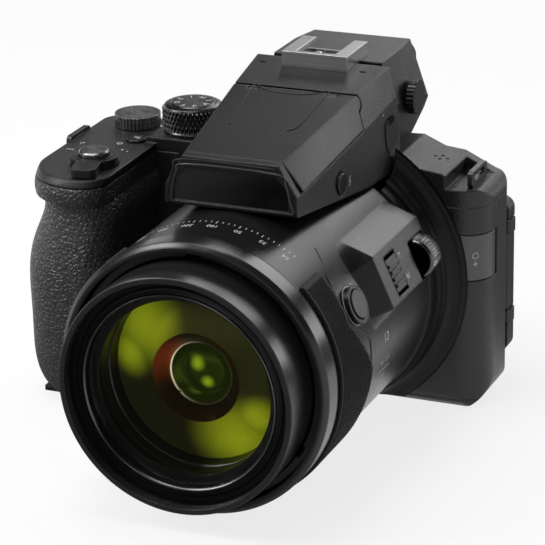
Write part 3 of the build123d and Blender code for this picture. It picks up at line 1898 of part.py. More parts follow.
with BuildPart() as accessory_shoe:
    add(block(-shoe_half, shoe_half, shoe_front, shoe_rear, shoe_base, shoe_top))
    add(
        block(
            -shoe_slot / 2,
            shoe_slot / 2,
            shoe_front + shoe_stop,
            far_rear,
            shoe_slot_low,
            shoe_top - shoe_lip,
        ),
        mode=Mode.SUBTRACT,
    )
    add(
        block(
            -shoe_throat / 2,
            shoe_throat / 2,
            shoe_front + shoe_stop,
            far_rear,
            shoe_slot_low,
            shoe_top + overrun,
        ),
        mode=Mode.SUBTRACT,
    )
accessory_shoe.part.label = "accessory_shoe"
export_step(accessory_shoe.part, "parts/accessory_shoe.step")

# Viewfinder housing behind the shoe, with its eyepiece
eye_wall = 2.0
eyecup_length = 2.5
eye_rear = eyecup_rear - eyecup_length
eye_top_drop = 0.6
eye_top = shoe_slot_low - eye_top_drop
eye_waist_rise = 9.7
eye_waist = head_low + eye_waist_rise
eye_waist_rear_rise = 5.7
eye_waist_rear = head_low + eye_waist_rear_rise
eye_rear_rise = 1.7
eye_rear_low = head_low + eye_rear_rise
eye_rear_drop = 1.2
eye_rear_top = shoe_slot_low - eye_rear_drop
eye_taper = 12.0
eye_mid = eye_rear - eye_taper
eye_rear_narrowing = 1.6
eye_rear_half = eye_half - eye_rear_narrowing
window_rise = 12.7
window_center = head_low + window_rise
window_wide = 12.0
window_tall = 7.5
diopter_setback = 0.6
diopter_y = body_rear + diopter_setback
diopter_rise = 9.5
diopter_z = head_low + diopter_rise
diopter_radius = 5.4
diopter_thickness = 2.6
diopter_notches = 24
diopter_notch_share = 0.06
diopter_shaft = 1.5
diopter_shaft_length = 4.5
diopter_x = 21.4


eye_mid_spread = 0.7
eye_rear_spread = 1.4
eye_mid_drop = 0.2
eye_mid_half = eye_low_half + eye_mid_spread
eye_mid_top = eye_top - eye_mid_drop
eye_rear_low_half = eye_low_half + eye_rear_spread


def eye_front_section(inset):
    """Section of the viewfinder housing behind the shoe."""
    y = eye_front + inset
    return hump_section(y, eye_low_half, eye_low, eye_low_half, eye_waist, eye_half, eye_top, inset)


def eye_middle_section(inset):
    """Section where the viewfinder housing starts to taper."""
    return hump_section(eye_mid, eye_low_half, eye_low, eye_mid_half, eye_waist, eye_half, eye_mid_top, inset)


def eye_rear_section(inset):
    """Section at the eyepiece face."""
    y = eye_rear - inset
    low = eye_rear_low
    waist = eye_waist_rear
    return hump_section(y, eye_low_half, low, eye_rear_low_half, waist, eye_rear_half, eye_rear_top, inset)


def eye_form(inset):
    """The viewfinder housing, from behind the shoe to the eyepiece face."""
    with BuildPart() as eye:
        loft([eye_front_section(inset), eye_middle_section(inset)], ruled=True)
        loft([eye_middle_section(inset), eye_rear_section(inset)], ruled=True)
    return eye.part


diopter_plane = Plane(origin=(diopter_x, diopter_y, diopter_z), x_dir=(0, -1, 0), z_dir=(1, 0, 0))
eye_hollow_front = eye_front + eye_wall
eye_hollow_rear = eye_rear - eye_wall
eye_hollow_low = dial_deck_height + eye_wall * 2
eye_hollow_high = shoe_base - eye_wall
with BuildPart() as eye_hollow:
    add(eye_form(eye_wall))
    add(
        block(-far_x, far_x, eye_hollow_front, eye_hollow_rear, eye_hollow_low, eye_hollow_high),
        mode=Mode.INTERSECT,
    )

with BuildPart() as evf_housing:
    add(eye_form(0))
    add(eye_hollow.part, mode=Mode.SUBTRACT)
    add(outer_form, mode=Mode.SUBTRACT)
    add(hump_form(0), mode=Mode.SUBTRACT)
    add(
        block(
            -shoe_half - fit_gap,
            shoe_half + fit_gap,
            shoe_front,
            shoe_rear + fit_gap,
            shoe_base,
            shoe_top * 2,
        ),
        mode=Mode.SUBTRACT,
    )
    add(
        block(
            -window_wide,
            window_wide,
            eye_rear - eye_wall * 2,
            eye_rear + overrun,
            window_center - window_tall,
            window_center + window_tall,
        ),
        mode=Mode.SUBTRACT,
    )
    add(rod(diopter_plane.offset(-gap), diopter_radius + gap, overrun), mode=Mode.SUBTRACT)
    add(
        rod(diopter_plane.offset(-diopter_shaft_length), diopter_shaft + fit_gap, overrun),
        mode=Mode.SUBTRACT,
    )
evf_housing.part.label = "evf_housing"
export_step(evf_housing.part, "parts/evf_housing.step")

with BuildPart() as diopter_dial:
    add(
        notched_wheel(
            diopter_plane,
            diopter_radius,
            diopter_thickness,
            diopter_notches,
            diopter_notch_share,
        ),
    )
    add(rod(diopter_plane.offset(gap - diopter_shaft_length), diopter_shaft, diopter_shaft_length))
diopter_dial.part.label = "diopter_dial"
export_step(diopter_dial.part, "parts/diopter_dial.step")

eyepiece_thickness = 2.0
with BuildPart() as eyepiece_lens:
    add(
        block(
            -window_wide + fit_gap,
            window_wide - fit_gap,
            eye_rear - eye_wall,
            eye_rear - eye_wall + eyepiece_thickness,
            window_center - window_tall + fit_gap,
            window_center + window_tall - fit_gap,
        )
    )
eyepiece_lens.part.label = "eyepiece_lens"
export_step(eyepiece_lens.part, "parts/eyepiece_lens.step")

eyecup_wall = 2.6
with BuildPart() as eyecup:
    cup_face = Plane(origin=(0, eye_rear, window_center), x_dir=(-1, 0, 0), z_dir=(0, 1, 0))
    with BuildSketch(cup_face):
        RectangleRounded(
            (window_wide + eyecup_wall * 2) * 2,
            (window_tall + eyecup_wall) * 2,
            eyecup_wall * 2,
        )
        RectangleRounded(window_wide * 2, window_tall * 2, eyecup_wall, mode=Mode.SUBTRACT)
    extrude(amount=eyecup_rear - eye_rear)
    fillet(eyecup.edges().group_by(Axis.Y)[-1], eyecup_wall / 4)
eyecup.part.label = "eyecup"
export_step(eyecup.part, "parts/eyecup.step")

# Monitor: arm, panel and screen glass, which swing out together
tilt_shaft_radius = 1.8
tilt_shaft_length = 5.0
arm_reach = 6.0
cut_out_left = swing_x - arm_reach
panel_round = 3.5
edge_round = 0.8
arm_round = 1.2
with BuildPart() as monitor_arm:
    add(block(cut_out_left + gap, panel_right, panel_front, panel_rear, arm_low, arm_high))
    fillet(monitor_arm.edges().filter_by(Axis.Z).group_by(Axis.X)[-1], arm_round)
    tilt_plane = Plane(
        origin=(cut_out_left + gap, swing_y, hinge_middle),
        x_dir=(0, 1, 0),
        z_dir=(-1, 0, 0),
    )
    add(rod(tilt_plane, tilt_shaft_radius, tilt_shaft_length))
    pin_length = hinge_height + (gap + ear_height) * 2
    add(rod(swing_plane.offset(arm_low - gap - ear_height), hinge_pin_radius, pin_length))
monitor_arm.part.label = "monitor_arm"
export_step(monitor_arm.part, "parts/monitor_arm.step")

glass_margin = 2.4
glass_recess = 0.6
glass_right = cut_out_left - glass_margin
glass_left = panel_right - panel_width + glass_margin
with BuildPart() as monitor_panel:
    add(block(panel_right - panel_width, panel_right, panel_front, panel_rear, panel_low, panel_high))
    fillet(monitor_panel.edges().filter_by(Axis.Y), panel_round)
    chamfer(monitor_panel.edges().group_by(Axis.Y)[-1], edge_round)
    add(
        block(
            cut_out_left,
            panel_right + overrun,
            panel_front - overrun,
            panel_rear + overrun,
            arm_low - gap * 2 - ear_height,
            arm_high + gap * 2 + ear_height,
        ),
        mode=Mode.SUBTRACT,
    )
    add(
        rod(tilt_plane.offset(-overrun), tilt_shaft_radius + fit_gap, tilt_shaft_length + overrun + gap),
        mode=Mode.SUBTRACT,
    )
    add(
        block(
            glass_left,
            glass_right,
            panel_rear - glass_recess,
            panel_rear + overrun,
            panel_low + glass_margin,
            panel_high - glass_margin,
        ),
        mode=Mode.SUBTRACT,
    )
monitor_panel.part.label = "monitor_panel"
export_step(monitor_panel.part, "parts/monitor_panel.step")

with BuildPart() as monitor_glass:
    add(
        block(
            glass_left + fit_gap,
            glass_right - fit_gap,
            panel_rear - glass_recess,
            panel_rear - fit_gap,
            panel_low + glass_margin + fit_gap,
            panel_high - glass_margin - fit_gap,
        )
    )
monitor_glass.part.label = "monitor_glass"
export_step(monitor_glass.part, "parts/monitor_glass.step")
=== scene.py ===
import math

import bmesh
import bpy
from mathutils import Matrix, Vector
from mathutils.bvhtree import BVHTree


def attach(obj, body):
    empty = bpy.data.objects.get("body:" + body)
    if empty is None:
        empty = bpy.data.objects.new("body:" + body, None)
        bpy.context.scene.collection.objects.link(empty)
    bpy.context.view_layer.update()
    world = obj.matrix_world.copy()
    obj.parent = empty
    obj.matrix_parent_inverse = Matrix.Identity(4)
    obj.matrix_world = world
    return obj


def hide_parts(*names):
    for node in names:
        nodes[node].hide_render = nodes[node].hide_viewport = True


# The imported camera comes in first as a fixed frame: every solid part, already
# in place and already riding on its body.
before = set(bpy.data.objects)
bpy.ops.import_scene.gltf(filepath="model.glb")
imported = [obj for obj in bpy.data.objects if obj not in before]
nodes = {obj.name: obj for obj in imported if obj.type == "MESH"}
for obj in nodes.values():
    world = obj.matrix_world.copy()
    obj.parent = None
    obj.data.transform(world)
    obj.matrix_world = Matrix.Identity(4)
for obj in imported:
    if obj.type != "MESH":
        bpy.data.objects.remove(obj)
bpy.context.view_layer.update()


# The photograph was taken with a long lens from the front right, above the
# lens axis, with the picture leaning about one degree.
view_place = Vector((0.2998, -0.7573, 0.3459))
view_forward = Vector((-0.3639, 0.8606, -0.3564)).normalized()
view_side = Vector((0.9211, 0.3894, 0.0)).normalized()
view_roll = math.radians(-1.10)
view_up = view_side.cross(view_forward)
leaned_side = view_side * math.cos(view_roll) + view_up * math.sin(view_roll)
leaned_up = view_up * math.cos(view_roll) - view_side * math.sin(view_roll)
camera_data = bpy.data.cameras.new("photo_camera")
camera_data.sensor_width = 36.0
camera_data.sensor_fit = "HORIZONTAL"
camera_data.lens = 184.15
camera_data.clip_start = 0.01
camera_data.clip_end = 30.0
camera = bpy.data.objects.new("photo_camera", camera_data)
camera_turn = Matrix((leaned_side, leaned_up, -view_forward)).transposed()
camera.matrix_world = Matrix.Translation(view_place) @ camera_turn.to_4x4()
bpy.context.scene.collection.objects.link(camera)
bpy.context.scene.camera = camera
bpy.context.scene.view_settings.view_transform = "Standard"

# The studio: a white paper floor that sweeps up into a low round backdrop,
# a dim room above it, and soft boxes over, behind and beside the camera.
floor_reach = 2.4
sweep_radius = 0.35
backdrop_height = 0.62
sweep_steps = 10
backdrop_segments = 96
paper_colour = (0.84, 0.84, 0.84, 1)
paper_glow = 0.8
card_cover = 0.8
card_top = 0.1


def new_material(name):
    """An empty node material and its tree."""
    material = bpy.data.materials.new(name)
    material.use_nodes = True
    material.node_tree.nodes.clear()
    return material, material.node_tree


def add_node(tree, kind, **settings):
    """A shader node of that kind, with its settings."""
    node = tree.nodes.new(kind)
    for key, value in settings.items():
        setattr(node, key, value)
    return node


def math_node(tree, operation, *operands, clamp=False):
    """A Math node's result; each operand is a socket or a number."""
    node = add_node(tree, "ShaderNodeMath", operation=operation, use_clamp=clamp)
    for socket, value in zip(node.inputs, operands):
        if isinstance(value, (int, float)):
            socket.default_value = value
        else:
            tree.links.new(value, socket)
    return node.outputs[0]


paper, tree = new_material("studio_paper")
ray_path = add_node(tree, "ShaderNodeLightPath")
paper_seen = math_node(
    tree, "MAXIMUM", ray_path.outputs["Is Camera Ray"],
    math_node(tree, "MAXIMUM", ray_path.outputs["Is Glossy Ray"], ray_path.outputs["Is Transmission Ray"]),
)
paper_face = add_node(tree, "ShaderNodeBsdfDiffuse")
paper_face.inputs["Color"].default_value = paper_colour
paper_light = add_node(tree, "ShaderNodeEmission")
paper_light.inputs["Color"].default_value = (1, 1, 1, 1)
paper_light.inputs["Strength"].default_value = 1.0
paper_mix = add_node(tree, "ShaderNodeMixShader")
tree.links.new(math_node(tree, "MULTIPLY", paper_seen, paper_glow), paper_mix.inputs[0])
tree.links.new(paper_face.outputs[0], paper_mix.inputs[1])
tree.links.new(paper_light.outputs[0], paper_mix.inputs[2])
# Two black cards lie out of the picture's sight, so that only reflections meet
# them: one on the floor in front to the left and one behind to the right.
paper_place = add_node(tree, "ShaderNodeNewGeometry")
paper_way = add_node(tree, "ShaderNodeVectorMath", operation="NORMALIZE")
tree.links.new(paper_place.outputs["Position"], paper_way.inputs[0])
card_shares = []
for card_way, fades_in, fills in (((-0.5, -0.86, 0), 0.35, 0.85), ((0.52, 0.85, 0), 0.82, 0.96)):
    card_facing = add_node(tree, "ShaderNodeVectorMath", operation="DOT_PRODUCT")
    tree.links.new(paper_way.outputs[0], card_facing.inputs[0])
    card_facing.inputs[1].default_value = card_way
    card_edge = add_node(tree, "ShaderNodeMapRange", interpolation_type="SMOOTHSTEP")
    card_edge.inputs["From Min"].default_value = fades_in
    card_edge.inputs["From Max"].default_value = fills
    tree.links.new(card_facing.outputs["Value"], card_edge.inputs["Value"])
    card_shares.append(card_edge.outputs["Result"])
low_enough = add_node(tree, "ShaderNodeSeparateXYZ")
tree.links.new(paper_place.outputs["Position"], low_enough.inputs[0])
card_low = math_node(tree, "LESS_THAN", low_enough.outputs["Z"], card_top)
card_share = math_node(tree, "MULTIPLY", math_node(tree, "MAXIMUM", *card_shares), card_low)
card_strength = math_node(tree, "MULTIPLY", card_share, card_cover)
card_seen = math_node(tree, "MULTIPLY", ray_path.outputs["Is Glossy Ray"], card_strength)
card_face = add_node(tree, "ShaderNodeBsdfDiffuse")
card_face.inputs["Color"].default_value = (0.02, 0.02, 0.02, 1)
card_mix = add_node(tree, "ShaderNodeMixShader")
tree.links.new(card_seen, card_mix.inputs[0])
tree.links.new(paper_mix.outputs[0], card_mix.inputs[1])
tree.links.new(card_face.outputs[0], card_mix.inputs[2])
paper_out = add_node(tree, "ShaderNodeOutputMaterial")
tree.links.new(card_mix.outputs[0], paper_out.inputs["Surface"])

sweep_profile = [(0.0, 0.0), (floor_reach - sweep_radius, 0.0)]
for step in range(1, sweep_steps + 1):
    bend = math.pi / 2 * step / sweep_steps
    sweep_profile.append(
        (floor_reach - sweep_radius + math.sin(bend) * sweep_radius, sweep_radius - math.cos(bend) * sweep_radius)
    )
sweep_profile.append((floor_reach, backdrop_height))
floor_mesh = bmesh.new()
floor_rings = []
for reach, height in sweep_profile:
    count = backdrop_segments if reach else 1
    ring = []
    for step in range(count):
        turn = math.tau * step / count
        ring.append(floor_mesh.verts.new((math.cos(turn) * reach, math.sin(turn) * reach, height)))
    floor_rings.append(ring)
for inner, outer in zip(floor_rings, floor_rings[1:]):
    for step in range(backdrop_segments):
        after = (step + 1) % backdrop_segments
        if len(inner) == 1:
            floor_mesh.faces.new((inner[0], outer[step], outer[after]))
        else:
            floor_mesh.faces.new((inner[step], outer[step], outer[after], inner[after]))
floor_data = bpy.data.meshes.new("studio_floor")
floor_mesh.to_mesh(floor_data)
floor_mesh.free()
floor_data.shade_smooth()
floor = bpy.data.objects.new("studio_floor", floor_data)
floor.data.materials.append(paper)
bpy.context.scene.collection.objects.link(floor)

room = bpy.data.worlds.new("studio_room")
bpy.context.scene.world = room
room.use_nodes = True
room_tree = room.node_tree
room_tree.nodes.clear()
room_air = add_node(room_tree, "ShaderNodeBackground")
room_air.inputs["Color"].default_value = (0.93, 0.96, 1.0, 1)
room_air.inputs["Strength"].default_value = 0.05
room_out = add_node(room_tree, "ShaderNodeOutputWorld")
room_tree.links.new(room_air.outputs[0], room_out.inputs["Surface"])


def soft_box(name, place, wide, tall, power):
    """A rectangular lamp that looks at the middle of the camera."""
    lamp = bpy.data.lights.new(name, "AREA")
    lamp.shape = "RECTANGLE"
    lamp.size = wide
    lamp.size_y = tall
    lamp.energy = power
    holder = bpy.data.objects.new(name, lamp)
    toward = Vector((0, -0.04, 0.06)) - Vector(place)
    turn = toward.to_track_quat("-Z", "Y").to_matrix().to_4x4()
    holder.matrix_world = Matrix.Translation(place) @ turn
    bpy.context.scene.collection.objects.link(holder)


soft_box("top_box", (-0.15, -0.1, 0.95), 0.55, 0.45, 5.6)
soft_box("back_box", (0.1, 1.05, 0.72), 1.0, 0.35, 4.2)
soft_box("left_box", (-0.8, -0.45, 0.75), 0.3, 0.8, 8.0)
soft_box("right_box", (0.85, 0.45, 0.42), 0.25, 0.8, 1.2)
soft_box("front_fill", (0.1, -1.25, 0.9), 0.7, 0.35, 1.6)
soft_box("facet_box", (0.86, 0.95, 0.22), 0.4, 0.3, 1.5)

# Chassis, screws, tripod bush and hinge pin. The chassis is die-cast
# aluminium, the screws and the pin are plated steel, and the bush is turned
# brass plated with nickel. All carry fine tool or brush marks.


def new_group(name, inputs, outputs):
    """A shader node group with named sockets, and its tree's two ends."""
    group = bpy.data.node_groups.new(name, "ShaderNodeTree")
    for socket_name, kind, default in inputs:
        socket = group.interface.new_socket(socket_name, in_out="INPUT", socket_type=kind)
        socket.default_value = default
    for socket_name, kind in outputs:
        group.interface.new_socket(socket_name, in_out="OUTPUT", socket_type=kind)
    return group, group.nodes.new("NodeGroupInput"), group.nodes.new("NodeGroupOutput")


def put_group(tree, group, **values):
    """Places a node group in a material with its own values."""
    node = add_node(tree, "ShaderNodeGroup", node_tree=group)
    for key, value in values.items():
        node.inputs[key].default_value = value
    return node


def colour_between(tree, share, first, second):
    """Colour between two others; each is a socket or three numbers."""
    node = add_node(tree, "ShaderNodeMix", data_type="RGBA")
    tree.links.new(share, node.inputs[0])
    for socket, value in ((node.inputs[6], first), (node.inputs[7], second)):
        if isinstance(value, tuple):
            socket.default_value = (*value, 1.0)
        else:
            tree.links.new(value, socket)
    return node.outputs[2]


def smooth_between(tree, value, low, high):
    """Smooth 0 to 1 as the value goes from low to high."""
    node = add_node(tree, "ShaderNodeMapRange", interpolation_type="SMOOTHSTEP")
    node.inputs["From Min"].default_value = low
    node.inputs["From Max"].default_value = high
    tree.links.new(value, node.inputs["Value"])
    return node.outputs["Result"]


def noise_over(tree, scale, detail=2.0):
    """Soft noise that stays with the object, as values from 0 to 1."""
    where = add_node(tree, "ShaderNodeTexCoord")
    noise = add_node(tree, "ShaderNodeTexNoise")
    noise.inputs["Scale"].default_value = scale
    noise.inputs["Detail"].default_value = detail
    tree.links.new(where.outputs["Object"], noise.inputs["Vector"])
    return noise.outputs["Fac"]


# Marks left by a turning tool or a spinning brush, in rings about an axis
turned_group, enter, leave = new_group(
    "turned_rings",
    [
        ("Centre", "NodeSocketVector", (0, 0, 0)),
        ("Axis", "NodeSocketVector", (0, 0, 1)),
        ("Scale", "NodeSocketFloat", 6000.0),
    ],
    [("Height", "NodeSocketFloat"), ("Streak", "NodeSocketFloat")],
)
tree = turned_group
where = add_node(tree, "ShaderNodeTexCoord")
from_centre = add_node(tree, "ShaderNodeVectorMath", operation="SUBTRACT")
tree.links.new(where.outputs["Object"], from_centre.inputs[0])
tree.links.new(enter.outputs["Centre"], from_centre.inputs[1])
along = add_node(tree, "ShaderNodeVectorMath", operation="PROJECT")
tree.links.new(from_centre.outputs[0], along.inputs[0])
tree.links.new(enter.outputs["Axis"], along.inputs[1])
across = add_node(tree, "ShaderNodeVectorMath", operation="SUBTRACT")
tree.links.new(from_centre.outputs[0], across.inputs[0])
tree.links.new(along.outputs[0], across.inputs[1])
across_length = add_node(tree, "ShaderNodeVectorMath", operation="LENGTH")
tree.links.new(across.outputs[0], across_length.inputs[0])
along_length = add_node(tree, "ShaderNodeVectorMath", operation="LENGTH")
tree.links.new(along.outputs[0], along_length.inputs[0])
ring_run = math_node(tree, "ADD", across_length.outputs["Value"], along_length.outputs["Value"])
ring_noise = add_node(tree, "ShaderNodeTexNoise", noise_dimensions="1D")
tree.links.new(math_node(tree, "MULTIPLY", ring_run, enter.outputs["Scale"]), ring_noise.inputs["W"])
ring_noise.inputs["Scale"].default_value = 1.0
ring_noise.inputs["Detail"].default_value = 2.0
tree.links.new(ring_noise.outputs["Fac"], leave.inputs["Height"])
streak_noise = add_node(tree, "ShaderNodeTexNoise", noise_dimensions="1D")
tree.links.new(math_node(tree, "MULTIPLY", ring_run, 900.0), streak_noise.inputs["W"])
streak_noise.inputs["Scale"].default_value = 1.0
tree.links.new(streak_noise.outputs["Fac"], leave.inputs["Streak"])

# Rubbed edges and painted edge highlights, found where a rounded normal leaves the true one: the mask lightens edges
# partly as wear and partly as painted highlight
edge_wear_highlight_group, enter, leave = new_group(
    "edge_wear_and_highlight",
    [("Radius", "NodeSocketFloat", 0.0006), ("Amount", "NodeSocketFloat", 0.5)],
    [("Mask", "NodeSocketFloat"), ("Normal", "NodeSocketVector")],
)
tree = edge_wear_highlight_group
rounded = add_node(tree, "ShaderNodeBevel", samples=4)
tree.links.new(enter.outputs["Radius"], rounded.inputs["Radius"])
true_form = add_node(tree, "ShaderNodeNewGeometry")
edge_turn = add_node(tree, "ShaderNodeVectorMath", operation="DOT_PRODUCT")
tree.links.new(rounded.outputs["Normal"], edge_turn.inputs[0])
tree.links.new(true_form.outputs["Normal"], edge_turn.inputs[1])
edge_mask = smooth_between(tree, edge_turn.outputs["Value"], 0.985, 0.86)
rubbed_and_lit = math_node(tree, "MULTIPLY", edge_mask, noise_over(tree, 180.0, 4.0))
tree.links.new(math_node(tree, "MULTIPLY", rubbed_and_lit, enter.outputs["Amount"], clamp=True), leave.inputs["Mask"])
tree.links.new(rounded.outputs["Normal"], leave.inputs["Normal"])

# Faint cloudy marks of handling, and dust that settles on faces that look up
haze_group, enter, leave = new_group(
    "handled_haze",
    [("Scale", "NodeSocketFloat", 45.0)],
    [("Cloud", "NodeSocketFloat"), ("Dust", "NodeSocketFloat")],
)
tree = haze_group
where = add_node(tree, "ShaderNodeTexCoord")
cloud_noise = add_node(tree, "ShaderNodeTexNoise")
cloud_noise.inputs["Detail"].default_value = 5.0
tree.links.new(where.outputs["Object"], cloud_noise.inputs["Vector"])
tree.links.new(enter.outputs["Scale"], cloud_noise.inputs["Scale"])
tree.links.new(cloud_noise.outputs["Fac"], leave.inputs["Cloud"])
dust_noise = add_node(tree, "ShaderNodeTexNoise")
dust_noise.inputs["Scale"].default_value = 900.0
tree.links.new(where.outputs["Object"], dust_noise.inputs["Vector"])
true_form = add_node(tree, "ShaderNodeNewGeometry")
face_turn = add_node(tree, "ShaderNodeSeparateXYZ")
tree.links.new(true_form.outputs["Normal"], face_turn.inputs[0])
dust_lie = math_node(tree, "MULTIPLY", face_turn.outputs["Z"], dust_noise.outputs["Fac"], clamp=True)
tree.links.new(math_node(tree, "MULTIPLY", dust_lie, cloud_noise.outputs["Fac"], clamp=True), leave.inputs["Dust"])


def close_material(tree, colour, roughness, height, depth, base_normal, **constants):
    """Joins colour, roughness and relief to one shader, with plain values for the rest."""
    shader = add_node(tree, "ShaderNodeBsdfPrincipled")
    for key, value in constants.items():
        shader.inputs[key.replace("_", " ")].default_value = value
    tree.links.new(colour, shader.inputs["Base Color"])
    tree.links.new(roughness, shader.inputs["Roughness"])
    if height is not None:
        relief = add_node(tree, "ShaderNodeBump")
        relief.inputs["Strength"].default_value = 1.0
        relief.inputs["Distance"].default_value = depth
        tree.links.new(height, relief.inputs["Height"])
        if base_normal is not None:
            tree.links.new(base_normal, relief.inputs["Normal"])
        tree.links.new(relief.outputs["Normal"], shader.inputs["Normal"])
    elif base_normal is not None:
        tree.links.new(base_normal, shader.inputs["Normal"])
    out = add_node(tree, "ShaderNodeOutputMaterial")
    tree.links.new(shader.outputs[0], out.inputs["Surface"])
    return shader


def turned_metal(name, colour, pale, roughness, centre, axis, scale, depth, metallic=1.0, edge=0.4,
                 edge_radius=0.0002, level=0.5):
    """Metal finished on a lathe or a brush: rings of fine relief and streaks."""
    material, tree = new_material(name)
    rings = put_group(tree, turned_group, Centre=centre, Axis=axis, Scale=scale)
    worn_and_lit = put_group(tree, edge_wear_highlight_group, Radius=edge_radius, Amount=edge)
    haze = put_group(tree, haze_group, Scale=60.0)
    streaked = colour_between(tree, rings.outputs["Streak"], colour, pale)
    # Edges go over to the pale colour: partly rubbed wear, partly painted highlight.
    tone = colour_between(tree, worn_and_lit.outputs["Mask"], streaked, pale)
    dull = math_node(tree, "MULTIPLY_ADD", haze.outputs["Cloud"], 0.12, roughness - 0.06)
    close_material(
        tree, tone, dull, rings.outputs["Height"], depth, worn_and_lit.outputs["Normal"], Metallic=metallic,
        Specular_IOR_Level=level,
    )
    return material


def finish_nodes(material, *names):
    """Gives CAD nodes a material in place of their plain one."""
    for name in names:
        nodes[name].data.materials.clear()
        nodes[name].data.materials.append(material)


cast_aluminium = turned_metal(
    "cast_aluminium", (0.33, 0.34, 0.35), (0.5, 0.5, 0.51), 0.5, (0, 0, 0), (0, 0, 1), 900.0, 0.00002
)
finish_nodes(cast_aluminium, "chassis")
plated_steel = turned_metal(
    "plated_steel", (0.42, 0.42, 0.41), (0.68, 0.67, 0.64), 0.28, (0, 0, 0.041), (0, 0, 1), 5000.0, 0.000008
)
finish_nodes(plated_steel, "body_screws", "tripod_socket", "flash_hinge_pin")

# Main board: green glass-fibre laminate with black chips soldered on, screwed
# to the chassis. Fine copper runs show under the lacquer.
board_lacquer, tree = new_material("board_lacquer")
where = add_node(tree, "ShaderNodeTexCoord")
copper_runs = add_node(tree, "ShaderNodeTexVoronoi", feature="DISTANCE_TO_EDGE")
copper_runs.inputs["Scale"].default_value = 420.0
tree.links.new(where.outputs["Object"], copper_runs.inputs["Vector"])
run_share = smooth_between(tree, copper_runs.outputs["Distance"], 0.10, 0.02)
board_tone = colour_between(tree, run_share, (0.006, 0.055, 0.022), (0.05, 0.17, 0.06))
board_haze = put_group(tree, haze_group, Scale=90.0)
board_dull = math_node(tree, "MULTIPLY_ADD", board_haze.outputs["Cloud"], 0.2, 0.2)
close_material(tree, board_tone, board_dull, run_share, 0.00003, None)
finish_nodes(board_lacquer, "main_board")

# Image sensor: a polished silicon face under cover glass, bonded to its small
# board behind the rear lens group. Its fine rows give a faint play of colour.
sensor_face, tree = new_material("sensor_face")
where = add_node(tree, "ShaderNodeTexCoord")
sensor_rows = add_node(tree, "ShaderNodeTexWave", wave_type="BANDS", bands_direction="Z")
sensor_rows.inputs["Scale"].default_value = 2600.0
sensor_rows.inputs["Distortion"].default_value = 0.4
tree.links.new(where.outputs["Object"], sensor_rows.inputs["Vector"])
sensor_tone = colour_between(tree, sensor_rows.outputs["Fac"], (0.02, 0.03, 0.07), (0.09, 0.04, 0.12))
sensor_haze = put_group(tree, haze_group, Scale=60.0)
sensor_dull = math_node(tree, "MULTIPLY_ADD", sensor_haze.outputs["Cloud"], 0.1, 0.05)
close_material(tree, sensor_tone, sensor_dull, sensor_rows.outputs["Fac"], 0.000004, None, Coat_Weight=1.0)
finish_nodes(sensor_face, "image_sensor")

# Body covers: front, rear, top and base covers, doors and flaps of glass-filled
# polycarbonate, moulded with a fine eroded grain and screwed round the chassis.
grain_group, enter, leave = new_group(
    "eroded_grain",
    [("Scale", "NodeSocketFloat", 2200.0), ("Specks", "NodeSocketFloat", 0.6)],
    [("Height", "NodeSocketFloat"), ("Specks", "NodeSocketFloat")],
)
tree = grain_group
where = add_node(tree, "ShaderNodeTexCoord")
grain_noise = add_node(tree, "ShaderNodeTexNoise")
grain_noise.inputs["Detail"].default_value = 2.5
grain_noise.inputs["Roughness"].default_value = 0.6
tree.links.new(where.outputs["Object"], grain_noise.inputs["Vector"])
tree.links.new(enter.outputs["Scale"], grain_noise.inputs["Scale"])
tree.links.new(grain_noise.outputs["Fac"], leave.inputs["Height"])
speck_cells = add_node(tree, "ShaderNodeTexVoronoi")
tree.links.new(where.outputs["Object"], speck_cells.inputs["Vector"])
tree.links.new(enter.outputs["Scale"], speck_cells.inputs["Scale"])
speck_core = smooth_between(tree, speck_cells.outputs["Distance"], 0.34, 0.1)
speck_pick = add_node(tree, "ShaderNodeSeparateColor")
tree.links.new(speck_cells.outputs["Color"], speck_pick.inputs["Color"])
speck_chosen = math_node(tree, "GREATER_THAN", speck_pick.outputs[0], 0.7)
speck_share = math_node(tree, "MULTIPLY", speck_core, speck_chosen)
tree.links.new(math_node(tree, "MULTIPLY", speck_share, enter.outputs["Specks"]), leave.inputs["Specks"])


def moulded_plastic(name, colour, roughness, grain, depth, specks, edge=0.5, edge_radius=0.0005, level=0.25,
                    pale=None):
    """Satin moulded plastic with eroded grain, edges lightened partly as rubbed wear and partly as painted highlight,
    and faint haze.
    """
    material, tree = new_material(name)
    eroded = put_group(tree, grain_group, Scale=grain, Specks=specks)
    worn_and_lit = put_group(tree, edge_wear_highlight_group, Radius=edge_radius, Amount=edge)
    haze = put_group(tree, haze_group)
    pale = pale or tuple(min(1.0, value * 3.0 + 0.03) for value in colour)
    speckled = colour_between(tree, eroded.outputs["Specks"], colour, pale)
    dusted = colour_between(tree, math_node(tree, "MULTIPLY", haze.outputs["Dust"], 0.03), speckled, (0.4, 0.4, 0.39))
    # Edges go part way to the pale colour: partly rubbed wear, partly painted highlight.
    tone = colour_between(tree, math_node(tree, "MULTIPLY", worn_and_lit.outputs["Mask"], 0.3), dusted, pale)
    dull = math_node(tree, "MULTIPLY_ADD", haze.outputs["Cloud"], 0.12, roughness - 0.06)
    sheen = math_node(tree, "MULTIPLY", worn_and_lit.outputs["Mask"], -0.1)
    close_material(
        tree, tone, math_node(tree, "ADD", dull, sheen, clamp=True), eroded.outputs["Height"], depth,
        worn_and_lit.outputs["Normal"], Specular_IOR_Level=level,
    )
    return material


body_plastic = moulded_plastic(
    "body_plastic", (0.005, 0.005, 0.0055), 0.38, 1500.0, 0.00018, 0.5, edge_radius=0.0009, level=0.5
)
finish_nodes(
    body_plastic, "front_cover", "rear_cover", "top_cover", "base_plate", "battery_door", "monitor_panel",
    "monitor_arm",
)
flap_plastic = moulded_plastic("flap_plastic", (0.016, 0.016, 0.017), 0.30, 2400.0, 0.00005, 0.5, level=0.9)
finish_nodes(flap_plastic, "connector_cover")

